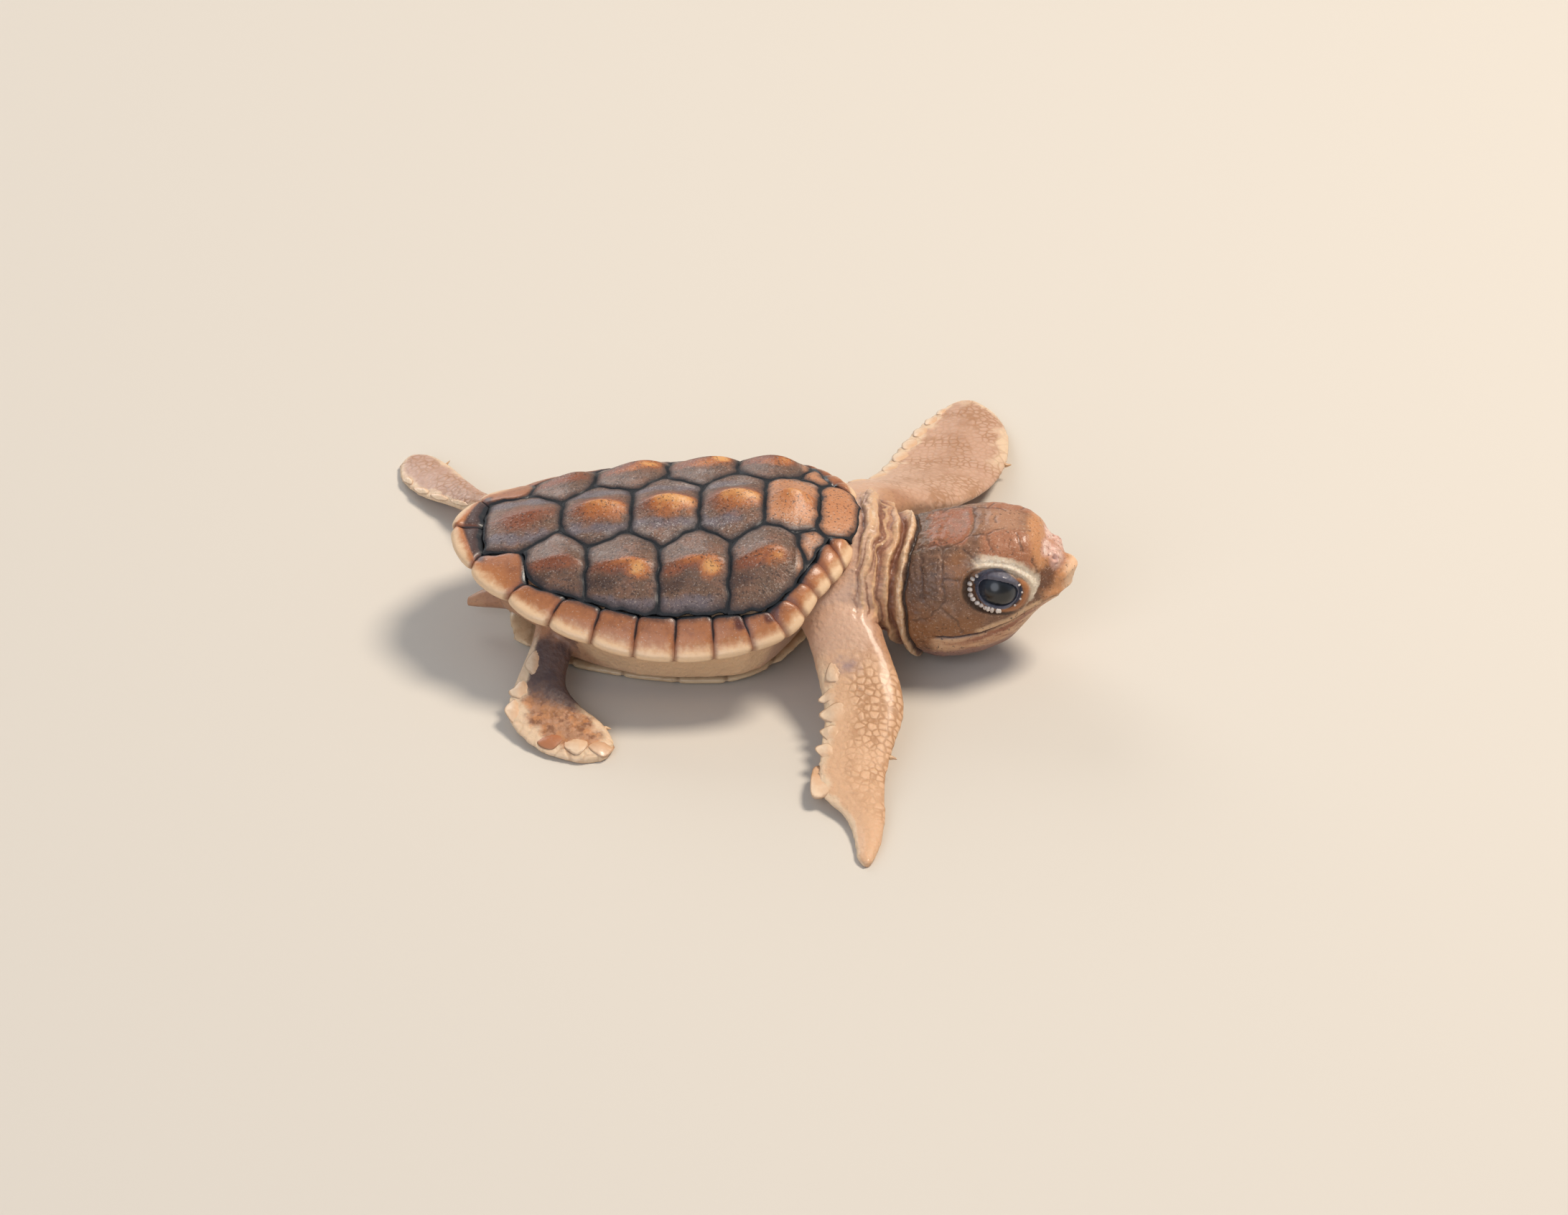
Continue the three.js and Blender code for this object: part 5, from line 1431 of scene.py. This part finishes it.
# scales that stand off the skin: root, tip, and the two sides of each on the flipper, x and y
bigScales = {
    "blankRings": [1, 0.93, 0.84, 0.72, 0.55, 0.3], "around": 36, "thick": 0.22,
    "lift": 0.03, "crown": 0.22, "tipLift": 0.08, "rootSink": 0.62, "patch": 0.003,
    "warm": {"hind_right_scales": {3: 1.0, 5: 0.45}},
    "horn": {
        "base": 0xd6ac88,
        "layers": [
            (None, 1.4, 0, (0.42, 0.68), 0xcba179, 0.7, {"detail": 3}),
            ("tipward", 1.0, 0.5, (0.6, 1.25), 0xe5ccae, 0.95),
            ("warm", 1.0, 0.6, (0.5, 1.2), 0xa5623a, 0.9, {"detail": 3}),
            ("seam", 0.5, -0.5, (0.2, -0.15), 0x9a7050, 0.5),
        ],
        "roughness": 0.36, "seamRoughness": 0.45, "ior": 1.45, "coat": 0.3, "coatRoughness": 0.16,
        "grains": [(0.9, 0.06), (0.3, 0.03)]},
    "beadHorn": {
        "base": 0xd8cdc4,
        "layers": [
            (None, 0.4, 0, (0.45, 0.7), 0xa8968c, 0.8, {"detail": 3}),
        ],
        "roughness": 0.28, "seamRoughness": 0.28, "ior": 1.45, "coat": 0.6, "coatRoughness": 0.08,
        "grains": [(0.3, 0.02)]},
    "foreNear": [
        [(22.6, -16.5), (20.5, -15.7), (19.9, -17.4), (21.5, -17.9)],
        [(22.9, -19.2), (21.5, -17.9), (19.1, -19.5), (21.9, -19.9)],
        [(24.5, -22.7), (21.9, -20.3), (19.3, -21.3), (22.0, -23.4)],
        [(23.2, -25.6), (21.5, -23.4), (19.5, -23.5), (21.5, -26.3)],
        [(22.4, -28.7), (20.6, -25.7), (19.1, -26.2), (20.9, -28.3)],
        [(22.3, -30.2), (19.3, -27.9), (19.0, -33.0), (20.9, -32.9)]],
    "hindNear": [
        [(-10.4, -14.2), (-12.0, -12.6), (-13.4, -14.0), (-12.0, -15.7)],
        [(-11.2, -16.9), (-12.7, -15.5), (-15.0, -16.7), (-13.3, -18.1)],
        [(-12.3, -19.3), (-14.0, -17.8), (-15.3, -19.2), (-13.6, -21.5)],
        [(-9.6, -21.4), (-8.3, -22.9), (-9.6, -25.0), (-11.4, -23.9)],
        [(-7.0, -21.7), (-5.5, -23.4), (-6.7, -25.9), (-8.5, -24.3)],
        [(-4.5, -21.7), (-2.9, -23.6), (-4.0, -25.9), (-5.8, -24.5)]],
}


def topSurface():
    points, upward = readPoints(skin), readNormals(skin)[:, 2] > 0.15
    return plantTree([(int(i), points[i, :2]) for i in np.flatnonzero(upward)]), points


def heightAt(surface, spots, count, softness):
    # height of the skin below each spot, averaged over its nearest points
    tree, ground = surface
    heights = []
    for spot in spots:
        found = tree.find_n((spot[0], spot[1], 0), count)
        weights = np.array([1 / (f[2] + softness) for f in found])
        heights.append((np.array([ground[f[1], 2] for f in found]) * weights).sum() / weights.sum())
    return np.array(heights)


def shapeScale(blank, name, corners, surface, patchPlace, warm):
    piece = copyOf(blank, name)
    corners = np.array(corners, float)
    points, flat, radius = spreadDisc(piece, closedCurve(corners, bigScales["around"]))
    root, length = corners[0], corners[2] - corners[0]
    towards = (points - root) @ length / (length @ length)
    height = heightAt(surface, points, 5, 0.1)
    height += bigScales["crown"] * (1 - radius ** 2) + bigScales["lift"]
    height += bigScales["tipLift"] * step(0.4, 1.0, towards)
    height -= bigScales["rootSink"] * step(0.8, 0.0, towards)
    writePoints(piece, np.column_stack([points, np.maximum(height, bigScales["thick"] + 0.05)]))
    writeMasks(piece, {"seam": 3 * (1 - radius), "tipward": towards, "warm": np.full(len(points), warm)})
    if piece.data.polygons[0].normal.z < 0:
        piece.data.flip_normals()
    layPatch(piece, flat, patchPlace)
    thicken(piece, bigScales["thick"])
    return piece


def layPatch(piece, flat, patchPlace):
    # the piece's own small patch of the shared unwrap, at its root's place
    layer = piece.data.uv_layers.new(name="OFBake")
    vertices = np.zeros(len(piece.data.loops), int)
    piece.data.loops.foreach_get("vertex_index", vertices)
    spots = np.array(patchPlace) + 0.5 * bigScales["patch"] * flat[vertices]
    layer.data.foreach_set("uv", spots.ravel())


def edgeScales(rows, positions):
    # corners of scales in a row along a limb's trailing edge
    corners = []
    for start, end in zip(positions, positions[1:]):
        middle = (start + end) / 2
        spots = ((middle, -0.45), (start + 0.04, -0.82), (middle + 0.06, -0.98), (end - 0.04, -0.82))
        corners.append([acrossLimb(rows, min(position, len(rows) - 1.02), across)
                        for position, across in spots])
    return corners


def joinAs(pieces, name):
    deselectAll()
    for piece in pieces:
        piece.select_set(True)
    bpy.context.view_layer.objects.active = pieces[0]
    bpy.ops.object.join()
    pieces[0].name = name
    return pieces[0]


def makeBigScales():
    horn = makeHorn("paleFlipperScale", bigScales["horn"])
    blank = makeBlankDisc(bigScales["around"], bigScales["blankRings"])
    surface = topSurface()
    rows = {"fore_right_scales": ("frontRight", bigScales["foreNear"]),
            "hind_right_scales": ("hindRight", bigScales["hindNear"]),
            "fore_left_scales": ("frontLeft", edgeScales(body["frontLeft"], np.linspace(1.3, 6.2, 9))),
            "hind_left_scales": ("hindLeft", edgeScales(body["hindLeft"], np.linspace(1.4, 5.2, 6)))}
    for column, (name, (limb, places)) in enumerate(rows.items()):
        entries = limbPlace(limbGrids[limb], *np.array([corners[0] for corners in places]).T)
        pieces = []
        for number, corners in enumerate(places):
            position, across = entries[number, :2]
            spot = (0.1 + 0.2 * column + 0.08 * across, 0.1 + 0.8 * position / len(body[limb]))
            warm = bigScales["warm"].get(name, {}).get(number, 0.0)
            pieces.append(shapeScale(blank, name + str(number), corners, surface, spot, warm))
        finishPiece(joinAs(pieces, name), name, "root", horn)
    bpy.data.objects.remove(blank)


# row of small rounded scales along the lower lid
lidBeads = {
    # degrees round the eye, how far out from the lids' edge, size
    "rows": [(156, 1.38, 0.2), (168, 1.42, 0.24), (180, 1.44, 0.27), (191, 1.44, 0.28),
             (202, 1.43, 0.28), (213, 1.41, 0.28), (224, 1.39, 0.28), (235, 1.37, 0.27),
             (246, 1.36, 0.26), (257, 1.34, 0.25), (268, 1.32, 0.24), (279, 1.3, 0.22),
             (290, 1.28, 0.2), (330, 1.2, 0.14), (350, 1.2, 0.14), (10, 1.2, 0.14), (28, 1.2, 0.13)],
    "long": 1.9, "sink": -0.07, "segments": 16, "rings": 10,
}


def makeLidBeads():
    horn = makeHorn("wetLidScale", bigScales["beadHorn"])
    local = toHead(readPoints(skin))
    beads = []
    for side in (-1, 1):
        height, _, _, q, angle = eyePolar(local, side)
        candidates = np.flatnonzero((height > -0.2) & (q > 1.0) & (q < 1.5))
        centre, axis, along, up = eyeFrame(side)
        for wanted, level, size in lidBeads["rows"]:
            off = np.abs((angle[candidates] - wanted + 180) % 360 - 180) / 12
            spot = local[candidates[np.argsort(off + np.abs(q[candidates] - level) / 0.05)[:6]]].mean(0)
            bead = startBall(lidBeads["segments"], lidBeads["rings"])
            unit = readPoints(bead) * mm
            outward = Vector(along * math.cos(math.radians(wanted)) + up * math.sin(math.radians(wanted)))
            facing = Vector(spot - centre + 0.4 * axis).normalized()
            outward = (outward - facing * outward.dot(facing)).normalized()
            across = facing.cross(outward)
            turned = unit @ np.array([outward * lidBeads["long"], across, facing]) * size
            writePoints(bead, fromHead(spot - np.array(facing) * lidBeads["sink"] + turned))
            writeMasks(bead, {"seam": np.ones(len(unit)), "tipward": 0.5 + 0.5 * unit[:, 2]})
            while bead.data.uv_layers:
                bead.data.uv_layers.remove(bead.data.uv_layers[0])
            layPatch(bead, unit[:, :2], (0.5 + 0.004 * len(beads), 0.97))
            beads.append(bead)
    finishPiece(joinAs(beads, "lid_scales"), "lid_scales", "root", horn)


makeBigScales()
makeLidBeads()
print("standing scales are in")
